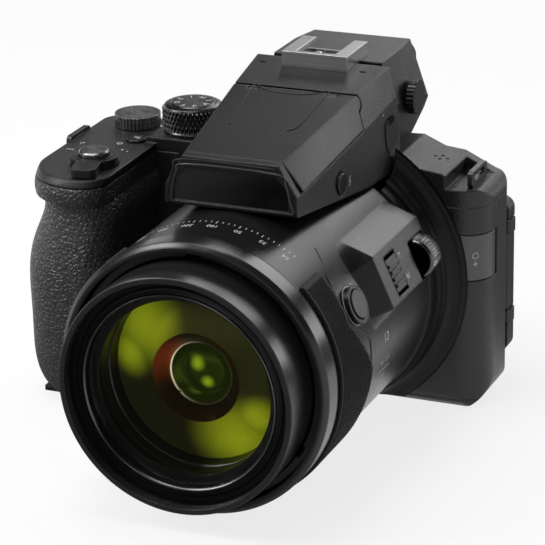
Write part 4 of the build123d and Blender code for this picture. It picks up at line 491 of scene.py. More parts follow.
# Grip rubber: soft rubber with a pebbled leather relief, moulded over the grip
# and glued on, with a plain lip under the top plate.
pebble_group, enter, leave = new_group(
    "pebbled_leather",
    [("Scale", "NodeSocketFloat", 700.0), ("Jitter", "NodeSocketFloat", 0.9)],
    [("Height", "NodeSocketFloat"), ("Valley", "NodeSocketFloat")],
)
tree = pebble_group
where = add_node(tree, "ShaderNodeTexCoord")
pebble_warp = add_node(tree, "ShaderNodeTexNoise")
pebble_warp.inputs["Scale"].default_value = 300.0
tree.links.new(where.outputs["Object"], pebble_warp.inputs["Vector"])
warp_reach = add_node(tree, "ShaderNodeVectorMath", operation="SCALE")
warp_reach.inputs["Scale"].default_value = 0.002
tree.links.new(pebble_warp.outputs["Color"], warp_reach.inputs[0])
warped = add_node(tree, "ShaderNodeVectorMath", operation="ADD")
tree.links.new(where.outputs["Object"], warped.inputs[0])
tree.links.new(warp_reach.outputs[0], warped.inputs[1])
pebble_cells = add_node(tree, "ShaderNodeTexVoronoi", feature="DISTANCE_TO_EDGE")
tree.links.new(warped.outputs[0], pebble_cells.inputs["Vector"])
tree.links.new(enter.outputs["Scale"], pebble_cells.inputs["Scale"])
tree.links.new(enter.outputs["Jitter"], pebble_cells.inputs["Randomness"])
pebble_crown = smooth_between(tree, pebble_cells.outputs["Distance"], 0.0, 0.3)
tree.links.new(pebble_crown, leave.inputs["Height"])
tree.links.new(math_node(tree, "SUBTRACT", 1.0, pebble_crown), leave.inputs["Valley"])


def grained_rubber(name, colour, roughness, pebble, depth, jitter=0.9, level=0.35):
    """Soft rubber with a pebbled relief, duller in its valleys and darker there as painted shade."""
    material, tree = new_material(name)
    pebbles = put_group(tree, pebble_group, Scale=pebble, Jitter=jitter)
    worn_and_lit = put_group(tree, edge_wear_highlight_group, Radius=0.0006, Amount=0.3)
    haze = put_group(tree, haze_group)
    valley_shade_colour = tuple(value * 0.35 for value in colour)
    # Painted shade: the colour darkens in the valleys of the pebbles.
    shaded = colour_between(tree, pebbles.outputs["Valley"], colour, valley_shade_colour)
    dusted = colour_between(tree, math_node(tree, "MULTIPLY", haze.outputs["Dust"], 0.05), shaded, (0.4, 0.4, 0.39))
    dull = math_node(tree, "MULTIPLY_ADD", pebbles.outputs["Valley"], 0.25, roughness)
    close_material(
        tree, dusted, dull, pebbles.outputs["Height"], depth, worn_and_lit.outputs["Normal"], Specular_IOR_Level=level
    )
    return material


grip_leather = grained_rubber("grip_leather", (0.026, 0.027, 0.028), 0.34, 640.0, 0.00022, level=0.9)
finish_nodes(grip_leather, "grip_rubber")

# Battery and memory card: shrink-wrapped cells in a grey sleeve and a dark
# plastic card, both slid in from below and held by the door and its latch.
battery_sleeve = moulded_plastic("battery_sleeve", (0.09, 0.095, 0.1), 0.45, 1800.0, 0.00002, 0.2, edge=0.2)
finish_nodes(battery_sleeve, "battery")
card_plastic = moulded_plastic("card_plastic", (0.01, 0.022, 0.05), 0.4, 2600.0, 0.00001, 0.2, edge=0.2)
finish_nodes(card_plastic, "memory_card")

# Lens collar and fixed barrel: painted mouldings with a very fine satin
# texture. The barrel carries the control box and plugs into the collar.
barrel_paint = moulded_plastic(
    "barrel_paint", (0.004, 0.004, 0.0045), 0.28, 3200.0, 0.00002, 0.2, edge_radius=0.0009, level=0.4
)
finish_nodes(barrel_paint, "lens_barrel")
collar_paint = moulded_plastic(
    "collar_paint", (0.004, 0.004, 0.0045), 0.36, 2600.0, 0.00004, 0.25, edge_radius=0.0008, level=0.2
)
finish_nodes(collar_paint, "lens_collar")

lens_axis_height = 41.0
barrel_round = 40.3


def make_piece(name, shapes, material, body, bevel=0.0, smooth_angle=38.0):
    """One mesh piece from (points, faces) shapes in millimetres, riding on its body."""
    shell = bmesh.new()
    for points, faces in shapes:
        corners = [shell.verts.new(Vector(point) * 0.001) for point in points]
        for face in faces:
            shell.faces.new([corners[index] for index in face])
    bmesh.ops.recalc_face_normals(shell, faces=shell.faces)
    data = bpy.data.meshes.new(name)
    shell.to_mesh(data)
    shell.free()
    data.shade_smooth()
    data.set_sharp_from_angle(angle=math.radians(smooth_angle))
    data.materials.append(material)
    piece = bpy.data.objects.new(name, data)
    bpy.context.scene.collection.objects.link(piece)
    if bevel:
        softened = piece.modifiers.new("soft_edges", "BEVEL")
        softened.width = bevel * 0.001
        softened.segments = 2
        softened.limit_method = "ANGLE"
        softened.angle_limit = math.radians(40)
    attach(piece, body)
    return piece


def sweep(rings, closed_along=True):
    """Skin over rings of points; every ring has the same count."""
    count = len(rings[0])
    points = [point for ring in rings for point in ring]
    faces = []
    pairs = len(rings) if closed_along else len(rings) - 1
    for index in range(pairs):
        after = (index + 1) % len(rings)
        for step in range(count):
            ahead = (step + 1) % count
            faces.append((index * count + step, index * count + ahead, after * count + ahead, after * count + step))
    if not closed_along:
        faces.append(tuple(reversed(range(count))))
        faces.append(tuple((len(rings) - 1) * count + step for step in range(count)))
    return points, faces


def bead(path, radius, sides=8, flat=1.0):
    """Round bead along a path of (point, outward) pairs, pressed flatter outward."""
    rings = []
    for index, (point, outward) in enumerate(path):
        before = path[max(index - 1, 0)][0]
        after = path[min(index + 1, len(path) - 1)][0]
        run = (Vector(after) - Vector(before)).normalized()
        up = Vector(outward).normalized()
        side = run.cross(up).normalized()
        ring = []
        for step in range(sides):
            turn = math.tau * step / sides
            ring.append(Vector(point) + side * math.cos(turn) * radius + up * math.sin(turn) * radius * flat)
        rings.append(ring)
    return sweep(rings, closed_along=False)


def round_the_barrel(turn, y, reach=barrel_round):
    """Point and outward direction at a turn from the top of the lens, in degrees."""
    angle = math.radians(turn)
    outward = Vector((math.sin(angle), 0, math.cos(angle)))
    return Vector((0, y, lens_axis_height)) + outward * reach, outward


def smooth_path(stops, steps=8):
    """Catmull-Rom line through stops, each a tuple of numbers."""
    line = []
    for index in range(len(stops) - 1):
        before = stops[max(index - 1, 0)]
        here, there = stops[index], stops[index + 1]
        beyond = stops[min(index + 2, len(stops) - 1)]
        for step in range(steps):
            t = step / steps
            spot = []
            for a, b, c, d in zip(before, here, there, beyond):
                bend = (2 * a - 5 * b + 4 * c - d) * t * t + (3 * b - a - 3 * c + d) * t ** 3
                spot.append(0.5 * (2 * b + (c - a) * t + bend))
            line.append(tuple(spot))
    line.append(tuple(stops[-1]))
    return line


# The barrel's front band is a separate moulding: its edge shows as a fine step
# that runs over the top, down beside the pad and under the barrel.
band_stops = ((38, -75.8), (44, -78.6), (50, -82.2), (60, -84.4), (67, -84.6), (72, -82.2), (77, -77.4),
              (82, -73.2), (87, -72.6), (100, -72.6), (125, -72.6), (150, -72.6))
band_edge = bead([round_the_barrel(*stop) for stop in smooth_path(band_stops)], 0.42, flat=0.55)
make_piece("band_edge", [band_edge], barrel_paint, "camera_body")

# Barrel pad: a strip of rubber in a recess of the barrel, covered with rows of
# small woven-looking pips, for the left hand to hold the lens.
pad_rubber = grained_rubber("pad_rubber", (0.017, 0.018, 0.019), 0.42, 3000.0, 0.00002)
finish_nodes(pad_rubber, "barrel_rubber")
pad_surface = 41.3
pad_front_y = -97.6
pip_pitch = 1.02
pip_half = 0.4
pip_height = 0.32
pad_edge_margin = 0.9


def on_pad(turn, y):
    """Whether a pip fits inside the pad's outline at that place."""
    height = math.cos(math.radians(turn)) * pad_surface
    if height > 28.3 - pad_edge_margin or turn > 158:
        return False
    if height > 14:
        rear = -85.2
    elif height > -3:
        rear = -85.2 + (14 - height) / 17 * 11.8
    else:
        rear = -73.4
    return pad_front_y + pad_edge_margin < y < rear - pad_edge_margin


pip_shapes = []
turn_step = math.degrees(pip_pitch / pad_surface)
for row in range(int(26 / pip_pitch * 2)):
    y = pad_front_y + row * pip_pitch / 2
    turn = 40.0 + (row % 2) * turn_step / 2
    while turn < 165:
        if on_pad(turn, y):
            corners = []
            for reach, half in ((pad_surface - 0.05, pip_half), (pad_surface + pip_height, pip_half * 0.45)):
                for out_of_line, along_line in ((1, 0), (0, 1), (-1, 0), (0, -1)):
                    lean = turn + math.degrees(out_of_line * half / pad_surface)
                    corners.append(round_the_barrel(lean, y + along_line * half, reach)[0])
            pip_shapes.append(
                (corners, [(3, 2, 1, 0), (4, 5, 6, 7), (0, 1, 5, 4), (1, 2, 6, 5), (2, 3, 7, 6), (3, 0, 4, 7)])
            )
        turn += turn_step
make_piece("pad_pips", pip_shapes, pad_rubber, "camera_body", smooth_angle=20)

# Front ring, middle barrel and front barrel: aluminium tubes anodised black.
# The ring is polished, and the sliding barrels keep fine turned rings.
lens_line = (0, 0, lens_axis_height * 0.001)
gloss_ring = turned_metal(
    "gloss_ring", (0.008, 0.008, 0.009), (0.014, 0.014, 0.015), 0.2, lens_line, (0, 1, 0), 3000.0, 0.0000015,
    metallic=0.0, edge=0.1, edge_radius=0.0012,
)
finish_nodes(gloss_ring, "barrel_front_ring")
anodised_barrel = turned_metal(
    "anodised_barrel", (0.008, 0.008, 0.009), (0.016, 0.016, 0.017), 0.26, lens_line, (0, 1, 0), 5000.0, 0.000003,
    metallic=0.0, edge=0.1, edge_radius=0.0005,
)
finish_nodes(anodised_barrel, "front_barrel", "mid_barrel", "zoom_lens_cell", "rear_lens_cell")


def turned(outline, centre, axis, segments=160, relief=None):
    """Lathe-turned ring: a closed outline of (radius, run) about an axis in millimetres."""
    middle, spindle = Vector(centre), Vector(axis).normalized()
    side = spindle.orthogonal().normalized()
    other = spindle.cross(side)
    rings = []
    for step in range(segments):
        turn = math.tau * step / segments
        outward = side * math.cos(turn) + other * math.sin(turn)
        ring = []
        for row in outline:
            reach = row[0] - (relief(turn, row[1]) * row[2] if len(row) > 2 else 0.0)
            ring.append(middle + outward * reach + spindle * row[1])
        rings.append(ring)
    return sweep(rings)


def lens_turned(outline):
    """The same about the lens axis, with the run counted forward from the body."""
    return turned(outline, (0, 0, lens_axis_height), (0, -1, 0))


# The mouth of the front barrel: a cut filter thread, drawn as close rings
thread_outline = [(33.9, 120.0)]
thread_turns = 5
for step in range(thread_turns):
    thread_outline += [(33.42, 119.9 - step * 0.56), (33.78, 119.62 - step * 0.56)]
thread_outline += [(33.42, 119.9 - thread_turns * 0.56), (33.9, 117.0)]
make_piece("filter_thread", [lens_turned(thread_outline)], anodised_barrel, "front", smooth_angle=20)

# Lens bezel: a black turned cone that holds the front glass, with steps that
# stop stray light and a polished retaining ring screwed in over the glass.
matt_black = turned_metal(
    "matt_black", (0.004, 0.004, 0.004), (0.010, 0.010, 0.010), 0.42, lens_line, (0, 1, 0), 2600.0, 0.00002,
    metallic=0.0, edge=0.1, edge_radius=0.0003, level=0.3,
)
finish_nodes(matt_black, "lens_bezel")
retaining_metal = turned_metal(
    "retaining_metal", (0.06, 0.06, 0.062), (0.14, 0.14, 0.14), 0.25, lens_line, (0, 1, 0), 4000.0, 0.000003,
    edge=0.2, edge_radius=0.0003,
)
retainer_outline = [(28.35, 116.3), (28.5, 117.0), (28.9, 117.25), (29.3, 117.1), (29.5, 116.6), (29.5, 116.2)]
make_piece(
    "retaining_ring", [lens_turned(retainer_outline)], retaining_metal, "front", smooth_angle=50
)
step_shapes = []
step_depth = 0.6
for radius, run in ((30.6, 116.15), (31.7, 115.55), (32.8, 115.15)):
    inner, outer = radius - 0.22, radius + 0.2
    step_outline = [(inner, run - step_depth), (inner, run + 0.12), (outer, run), (outer, run - step_depth)]
    step_shapes.append(lens_turned(step_outline))
make_piece("bezel_steps", step_shapes, matt_black, "front", smooth_angle=30)

# Front glass group: a clear coated element in front, and behind it the deep
# black tube, the large coated element, and the ringed small element inside.
clear_glass, tree = new_material("clear_glass")
glass_smear = noise_over(tree, 25.0)
glass_tone = colour_between(tree, glass_smear, (0.93, 0.99, 0.93), (0.99, 1.0, 0.97))
glass_dull = math_node(tree, "MULTIPLY", glass_smear, 0.02)
close_material(tree, glass_tone, glass_dull, None, 0, None, Transmission_Weight=1.0, IOR=1.12)
finish_nodes(clear_glass, "front_lens", "zoom_lens", "rear_lens", "eyepiece_lens")

tube_black, tree = new_material("tube_black")
tube_rings = put_group(tree, turned_group, Centre=lens_line, Axis=(0, 1, 0), Scale=1400.0)
tube_tone = colour_between(tree, tube_rings.outputs["Streak"], (0.002, 0.002, 0.002), (0.006, 0.006, 0.007))
tube_dull = math_node(tree, "MULTIPLY_ADD", tube_rings.outputs["Streak"], 0.2, 0.22)
close_material(tree, tube_tone, tube_dull, tube_rings.outputs["Height"], 0.00001, None)


def coated_glass(name, dark, bright, painted_reflection_spots, roughness, painted_glow=None):
    """Coated inner glass: its tinted colour is lighter about some places, given from the lens axis, as painted
    reflections.

    The painted glow is an emission that stands in for the light that the many glasses behind it, which aren't
    modelled, send back to the front.
    """
    material, tree = new_material(name)
    where = add_node(tree, "ShaderNodeTexCoord")
    painted_reflection_share = None
    for across, up, reach in painted_reflection_spots:
        shift = add_node(tree, "ShaderNodeVectorMath", operation="SUBTRACT")
        tree.links.new(where.outputs["Object"], shift.inputs[0])
        shift.inputs[1].default_value = (across * 0.001, 0, (lens_axis_height + up) * 0.001)
        flat = add_node(tree, "ShaderNodeVectorMath", operation="MULTIPLY")
        tree.links.new(shift.outputs[0], flat.inputs[0])
        flat.inputs[1].default_value = (1, 0, 1)
        spot_reach = add_node(tree, "ShaderNodeVectorMath", operation="LENGTH")
        tree.links.new(flat.outputs[0], spot_reach.inputs[0])
        near = smooth_between(tree, spot_reach.outputs["Value"], reach * 0.001, 0.0)
        painted_reflection_share = near if painted_reflection_share is None else math_node(tree, "MAXIMUM", painted_reflection_share, near)
    tone = colour_between(tree, painted_reflection_share, dark, bright)
    haze = put_group(tree, haze_group, Scale=30.0)
    dull = math_node(tree, "MULTIPLY_ADD", haze.outputs["Cloud"], 0.08, roughness - 0.04)
    shader = close_material(tree, tone, dull, None, 0, None, Metallic=1.0)
    if painted_glow:
        painted_glow_tone = colour_between(tree, painted_reflection_share, *painted_glow)
        tree.links.new(painted_glow_tone, shader.inputs["Emission Color"])
        shader.inputs["Emission Strength"].default_value = 1.0
    return material


# The lighter spots on these coatings are painted reflections, and their emission is a painted glow.
wide_coating = coated_glass(
    "wide_coating", (0.03, 0.03, 0.008), (0.30, 0.32, 0.012),
    ((-16.5, 13.0, 15.0), (-21.0, 4.0, 9.0), (11.2, -17.8, 16.5), (17.5, -11.0, 9.0)), 0.26,
    ((0.007, 0.007, 0.002), (0.19, 0.225, 0.006)),
)
inner_coating = coated_glass(
    "inner_coating", (0.03, 0.035, 0.003), (0.2, 0.28, 0.012), ((-1.4, 2.4, 3.0), (1.5, -2.8, 2.6)), 0.22,
    ((0.006, 0.010, 0.001), (0.17, 0.24, 0.006)),
)
brown_coating = coated_glass(
    "brown_coating", (0.02, 0.006, 0.002), (0.12, 0.026, 0.008), ((-9.5, 4.5, 10.0),), 0.35,
    ((0.004, 0.003, 0.001), (0.085, 0.014, 0.003)),
)

tube_outline = [(28.0, 110.2), (34.0, 110.2), (34.0, 109.2), (27.4, 109.2), (27.0, 98.2), (26.3, 98.2), (26.3, 98.5),
                (26.4, 98.8), (26.6, 104.0), (27.0, 104.4), (27.2, 109.6)]
dark_tube = make_piece("dark_tube", [lens_turned(tube_outline)], tube_black, "front", smooth_angle=25)
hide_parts("lens_baffle")
dome_radius = 56.0
dome_front = 104.6
dome_steps = 14
dome_hole, dome_edge = 12.9, 26.2
dome_outline = []
for step in range(dome_steps + 1):
    reach = dome_hole + (dome_edge - dome_hole) * step / dome_steps
    dome_outline.append((reach, dome_front - (reach ** 2 - dome_hole ** 2) / (2 * dome_radius)))
dome_outline += [(dome_edge, 98.6), (dome_hole + 0.4, 98.6), (dome_hole, 99.4)]
make_piece("coated_element", [lens_turned(dome_outline)], wide_coating, "front", smooth_angle=50)
funnel_outline = [(12.95, 104.75), (12.6, 104.4), (9.4, 100.6), (9.4, 99.8), (13.0, 99.8), (13.25, 104.6)]
make_piece("brown_funnel", [lens_turned(funnel_outline)], brown_coating, "front", smooth_angle=50)
# The small ring's lighter spot on its left is a painted highlight, and its emission is a painted glow.
ring_painted_glint = coated_glass(
    "ring_painted_glint", (0.10, 0.08, 0.05), (0.7, 0.62, 0.45), ((-9.0, 1.0, 14.0),), 0.3,
    ((0.012, 0.006, 0.002), (0.5, 0.42, 0.28)),
)
bright_outline = [(9.15, 100.5), (9.2, 100.95), (9.5, 101.0), (9.6, 100.6)]
make_piece("bright_inner_ring", [lens_turned(bright_outline)], ring_painted_glint, "front")
small_outline = [(9.3, 100.6), (7.6, 98.6), (6.6, 98.2), (6.3, 98.9), (5.0, 99.5), (3.2, 99.95), (1.4, 100.15),
                 (0.02, 100.2), (0.02, 96.4), (9.3, 96.4)]
make_piece("small_element", [lens_turned(small_outline)], inner_coating, "front", smooth_angle=40)

# Hump: the viewfinder and flash housing and the flash lid, moulded in the same
# plastic as the body with a finer grain. The lid turns on a steel pin.
hump_plastic = moulded_plastic(
    "hump_plastic", (0.006, 0.006, 0.0065), 0.36, 1900.0, 0.00010, 0.6, edge_radius=0.0009, level=0.5
)
finish_nodes(hump_plastic, "hump_housing", "flash_lid", "evf_housing")
lid_slope = 0.139 / 0.99
lid_up = Vector((0, -0.139, 0.99))


def on_lid(x, y, height=0.0):
    """A point on the flash lid's sloping top, lifted by a height."""
    return Vector((x, y, 102.8 + (y + 31.6) * lid_slope + height))


def slab(outline, low, high):
    """Closed slab between an outline placed by one rule and by another."""
    count = len(outline)
    points = [low(point) for point in outline] + [high(point) for point in outline]
    faces = [tuple(reversed(range(count))), tuple(range(count, count * 2))]
    for step in range(count):
        ahead = (step + 1) % count
        faces.append((step, ahead, ahead + count, step + count))
    return points, faces


# The lid's raised middle panel: its left edge is a long ridge and its right
# edge turns in at the foot, and its rear curves round the front of the shoe.
ridge_left = [(-13.0, -28.0), (-11.6, -39.9), (-9.4, -55.6)]
ridge_right = [(10.9, -28.6), (10.9, -40.9), (10.7, -52.4), (8.6, -55.6)]
channel_stops = [(-11.9, -28.0), (-10.4, -29.6), (-6.7, -31.7), (-1.8, -32.1), (4.4, -31.7), (8.1, -29.4),
                 (9.6, -27.9)]
lid_lines = []
for stops, radius in ((ridge_left, 0.3), (ridge_right, 0.26), (channel_stops, 0.26)):
    lid_lines.append(bead([(on_lid(x, y, 0.02), lid_up) for x, y in smooth_path(stops, 6)], radius, flat=0.5))
make_piece("lid_ridges", lid_lines, hump_plastic, "flash")

# Flash window: a ribbed clear plastic lens in the lid, clipped in over the
# flash tube.
window_plastic, tree = new_material("window_plastic")
where = add_node(tree, "ShaderNodeTexCoord")
window_ribs = add_node(tree, "ShaderNodeTexWave", wave_type="BANDS", bands_direction="X")
window_ribs.inputs["Scale"].default_value = 380.0
tree.links.new(where.outputs["Object"], window_ribs.inputs["Vector"])
window_tone = colour_between(tree, window_ribs.outputs["Fac"], (0.75, 0.77, 0.8), (0.92, 0.93, 0.95))
window_dull = math_node(tree, "MULTIPLY_ADD", window_ribs.outputs["Fac"], 0.1, 0.12)
close_material(tree, window_tone, window_dull, window_ribs.outputs["Fac"], 0.00015, None, Coat_Weight=0.5)
finish_nodes(window_plastic, "flash_window")

# Nameplate: a blank plate of black acrylic, glued into a moulded frame on the
# hump's nose. The frame has a polished inner edge and a satin outer one.
plate_acrylic, tree = new_material("plate_acrylic")
where = add_node(tree, "ShaderNodeTexCoord")
plate_split = add_node(tree, "ShaderNodeSeparateXYZ")
tree.links.new(where.outputs["Object"], plate_split.inputs[0])
# Painted reflection: the plate's colour lightens towards its left end.
plate_painted_sheen = smooth_between(tree, plate_split.outputs["X"], 0.018, -0.018)
plate_tone = colour_between(tree, plate_painted_sheen, (0.002, 0.002, 0.002), (0.016, 0.016, 0.017))
plate_haze = put_group(tree, haze_group, Scale=80.0)
plate_dull = math_node(tree, "MULTIPLY_ADD", plate_haze.outputs["Cloud"], 0.1, 0.14)
close_material(tree, plate_tone, plate_dull, None, 0, None, Specular_IOR_Level=0.4)
finish_nodes(plate_acrylic, "nameplate")
frame_polish = moulded_plastic("frame_polish", (0.035, 0.035, 0.036), 0.22, 3000.0, 0.000005, 0.1, level=0.6)
plate_y = -77.5
front_way = Vector((0, -1, 0))
inner_frame = [(-18.3, 82.6), (-17.9, 86.5), (-16.6, 91.2), (-13.6, 93.9), (13.8, 93.9), (16.8, 91.0), (18.1, 86.0),
               (19.2, 82.8)]
outer_frame = [(-19.8, 82.9), (-19.2, 86.9), (-17.6, 92.0), (-14.4, 95.3), (13.6, 95.3)]
frame_shapes = [
    bead([(Vector((x, plate_y, z)), front_way) for x, z in smooth_path(inner_frame, 4)], 0.3),
    bead([(Vector((x, plate_y, z)), front_way) for x, z in ((-18.2, 82.5), (0, 82.5), (19.0, 82.5))], 0.22),
]
make_piece("plate_frame", frame_shapes, frame_polish, "camera_body")
outer_bead = bead([(Vector((x, plate_y + 0.1, z)), front_way) for x, z in smooth_path(outer_frame, 4)], 0.28)
make_piece("plate_outer_frame", [outer_bead], hump_plastic, "camera_body")

# Accessory shoe: pressed steel rails with a satin plating, screwed down over a
# leaf spring and the contact plate, with a lip bent down at the front.
shoe_plate = turned_metal(
    "shoe_plate", (0.42, 0.42, 0.43), (0.66, 0.66, 0.67), 0.34, (0, 0.4, 0.1), (0, 0, 1), 1500.0, 0.000006,
    edge=0.7, edge_radius=0.0004,
)
finish_nodes(shoe_plate, "accessory_shoe")
spring_black = turned_metal(
    "spring_black", (0.004, 0.004, 0.004), (0.03, 0.03, 0.031), 0.45, (0, 0.4, 0.1), (0, 0, 1), 2500.0, 0.000006,
    metallic=0.0, level=0.25,
)
gold_contact = turned_metal(
    "gold_contact", (0.55, 0.5, 0.4), (0.8, 0.76, 0.66), 0.25, (0, 0, 0.1), (0, 0, 1), 5000.0, 0.000004
)


def block(low, high):
    """A block's points and faces between two corners, for a bevelled piece."""
    outline = [(low[0], low[1]), (high[0], low[1]), (high[0], high[1]), (low[0], high[1])]
    return slab(outline, lambda p: Vector((p[0], p[1], low[2])), lambda p: Vector((p[0], p[1], high[2])))


def surface_place(node, start, way, up):
    """Where a line from a start meets a CAD part: a rule from (right, up, out) to a point, in millimetres."""
    shell = bmesh.new()
    shell.from_mesh(nodes[node].data)
    spot, normal, _, _ = BVHTree.FromBMesh(shell).ray_cast(Vector(start) * 0.001, Vector(way).normalized())
    shell.free()
    out = normal if normal.dot(Vector(way)) < 0 else -normal
    tall = (Vector(up) - out * out.dot(Vector(up))).normalized()
    right = tall.cross(out)
    return lambda u, v, w: spot * 1000 + right * u + tall * v + out * w


down = (0, 0, -1)
shoe_floor = surface_place("accessory_shoe", (0, -4, 120), down, (0, 1, 0))(0, 0, 0).z
leaf_shapes = [block((-8.9, -12.2, shoe_floor - 0.3), (8.9, 3.6, shoe_floor + 0.08))]
for side in (-1, 1):
    for step in range(3):
        x = side * (2.1 + step * 2.15)
        leaf_shapes.append(block((x - 0.55, -8.6, shoe_floor - 0.2), (x + 0.55, 1.2, shoe_floor + 0.45)))
leaf_shapes.append(block((-7.3, -10.4, shoe_floor - 0.2), (7.3, -8.9, shoe_floor + 0.5)))
leaf_shapes.append(block((-7.3, 1.4, shoe_floor - 0.2), (7.3, 2.6, shoe_floor + 0.4)))
make_piece("shoe_springs", leaf_shapes, spring_black, "camera_body", bevel=0.18)
contact_outline = [(0.02, 0.3), (0.75, 0.3), (0.95, 0.15), (1.0, -0.2), (0.02, -0.2)]
contact_shapes = [
    turned(contact_outline, (x, y, shoe_floor + 0.42), (0, 0, 1), segments=20)
    for x, y in ((0, -4.2), (-3.1, -6.6), (3.1, -6.6), (-3.1, -1.4), (3.1, -1.4))
]
make_piece("shoe_contacts", contact_shapes, gold_contact, "camera_body")

# Microphone openings and dimples in the hump's roof and the right shoulder, drawn as black discs a little proud of
# the surface: their black is painted shade of the openings, partly the black gauze behind.
black_gauze_and_hollow_shade = moulded_plastic("black_gauze_and_hollow_shade", (0.002, 0.002, 0.002), 0.8, 3000.0, 0.00002, 0.0, edge=0.0, level=0.1)


def low_button(place, radius, proud, stretch=1.0, count=20):
    """Low round form standing a little proud of a place."""
    rings = []
    for lift, share in ((-0.3, 1.0), (proud * 0.6, 1.0), (proud, 0.86)):
        ring = []
        for step in range(count):
            turn = math.tau * step / count
            ring.append(place(math.cos(turn) * radius * share * stretch, math.sin(turn) * radius * share, lift))
        rings.append(ring)
    return sweep(rings, closed_along=False)


mic_shapes = []
for x, y in ((-17.6, -11.0), (14.9, -11.3)):
    mic_shapes.append(low_button(surface_place("hump_housing", (x, y, 120), down, (0, 1, 0)), 0.62, 0.03, 1.7))
for x, y in ((33.2, 1.8), (35.2, 3.4), (35.2, 0.2), (37.2, 1.8)):
    mic_shapes.append(low_button(surface_place("top_cover", (x, y, 120), down, (0, 1, 0)), 0.55, 0.03))
make_piece("mic_openings", mic_shapes, black_gauze_and_hollow_shade, "camera_body")

# Microphone socket cap: a soft rubber cap with a finger notch, pressed into
# the hump's right flank.
cap_rubber = grained_rubber("cap_rubber", (0.014, 0.014, 0.015), 0.5, 2600.0, 0.00003)
flank = surface_place("hump_housing", (60, -11.4, 87.0), (-1, 0, 0), (0, 0, 1))
cap_outline = smooth_path(
    [(-4.2, 1.2), (-4.2, -3.0), (-3.2, -5.4), (-1.2, -5.4), (2.6, -3.6), (4.6, -0.8), (4.9, 3.0), (3.6, 4.4),
     (1.6, 4.6), (-1.4, 4.4), (-3.6, 3.6), (-4.2, 1.2)], 3)[:-1]
make_piece(
    "mic_cap", [slab(cap_outline, lambda p: flank(p[0], p[1], -0.5), lambda p: flank(p[0], p[1], 0.4))], cap_rubber,
    "camera_body", bevel=0.15,
)
# The finger notch is drawn as a black slab in place of its hollow: painted shade.
notch_outline = [(-2.0, 2.6), (2.4, 3.0), (2.0, 4.9), (-1.6, 4.7)]
make_piece(
    "mic_cap_notch", [slab(notch_outline, lambda p: flank(p[0], p[1], -0.3), lambda p: flank(p[0], p[1], 0.46))],
    black_gauze_and_hollow_shade, "camera_body", bevel=0.1,
)

# Eyecup: soft moulded rubber, pressed over the rim of the eyepiece at the
# back of the viewfinder housing.
eyecup_rubber = grained_rubber("eyecup_rubber", (0.012, 0.012, 0.012), 0.55, 2400.0, 0.00003)
finish_nodes(eyecup_rubber, "eyecup")

# Buttons, lever and rocker: hard satin plastic, each guided in its own hole
# and pushed back by a spring.
button_plastic = moulded_plastic(
    "button_plastic", (0.010, 0.010, 0.011), 0.34, 3200.0, 0.00001, 0.1, edge_radius=0.0004, level=0.4
)
finish_nodes(
    button_plastic, "zoom_lever", "fn_button", "power_button", "flash_button", "snap_back_button", "zoom_rocker",
    "selector_dial", "ok_button", "play_button", "menu_button", "delete_button", "display_button", "movie_button",
    "ae_lock_button", "battery_latch", "diopter_dial",
)


def spun_cap(name, centre, axis=(0, 0, 1)):
    """Black spun aluminium, brushed in rings about that centre."""
    return turned_metal(
        name, (0.09, 0.09, 0.091), (0.34, 0.34, 0.343), 0.24, tuple(value * 0.001 for value in centre), axis, 9000.0,
        0.00002, edge=0.5, edge_radius=0.0004,
    )


finish_nodes(spun_cap("shutter_cap", (-63.6, -35.5, 79.6)), "shutter_button")
finish_nodes(spun_cap("command_cap", (-67.4, 4.0, 79.2)), "command_dial")

# Mode dial: a diamond-knurled aluminium ring with a spun cap and marks round
# its top, turning on a short shaft.
mode_centre = (-46.0, -0.5, 77.0)
mode_top = 9.3
mode_metal = turned_metal(
    "mode_metal", (0.025, 0.025, 0.026), (0.16, 0.16, 0.163), 0.26, (-0.046, -0.0005, 0.0863), (0, 0, 1), 9000.0,
    0.00002, edge=0.5, edge_radius=0.0003,
)
mode_radius = 9.4
diamonds_round = 42
diamond_height = 1.5
knurl_depth = 0.65


def diamond_relief(turn, run):
    """Depth of the cut between diamonds, from 0 on a crown to 1 in a groove."""
    around = turn / math.tau * diamonds_round
    first = (around + run / diamond_height / 2) % 1.0
    second = (around - run / diamond_height / 2) % 1.0
    return 1.0 - min(1 - abs(2 * first - 1), 1 - abs(2 * second - 1)) * 1.6


mode_outline = [(0.02, mode_top), (6.6, mode_top), (7.0, 9.05), (8.2, 9.05), (8.9, 8.7), (9.15, 8.1)]
knurl_low, knurl_high, knurl_steps = 1.6, 7.8, 26
for step in range(knurl_steps + 1):
    run = knurl_high + (knurl_low - knurl_high) * step / knurl_steps
    mode_outline.append((mode_radius + 0.05, run, knurl_depth))
mode_outline += [(9.0, 1.3), (9.3, 0.9), (9.3, 0.35), (8.8, 0.3), (2.9, 0.3), (2.9, -4.0), (0.02, -4.0)]
mode_dial = make_piece(
    "knurled_mode_dial",
    [turned(mode_outline, mode_centre, (0, 0, 1), segments=diamonds_round * 8, relief=diamond_relief)],
    mode_metal, "mode_dial_body", smooth_angle=28,
)
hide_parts("mode_dial")

# Side dial on the lens box: a ribbed ring with a bright front rim round a deep
# hollow, turned with one finger of the left hand.
dial_metal = turned_metal(
    "dial_metal", (0.05, 0.05, 0.052), (0.16, 0.16, 0.165), 0.24, (0.03947, 0, 0.0566), (0, 1, 0), 3000.0, 0.000006,
    edge=0.6, edge_radius=0.0005,
)
side_dial_ribs = 40


def rib_relief(turn, run):
    """Depth between straight ribs, from 0 on a rib to 1 between two."""
    return 0.5 - 0.5 * math.cos(turn * side_dial_ribs)


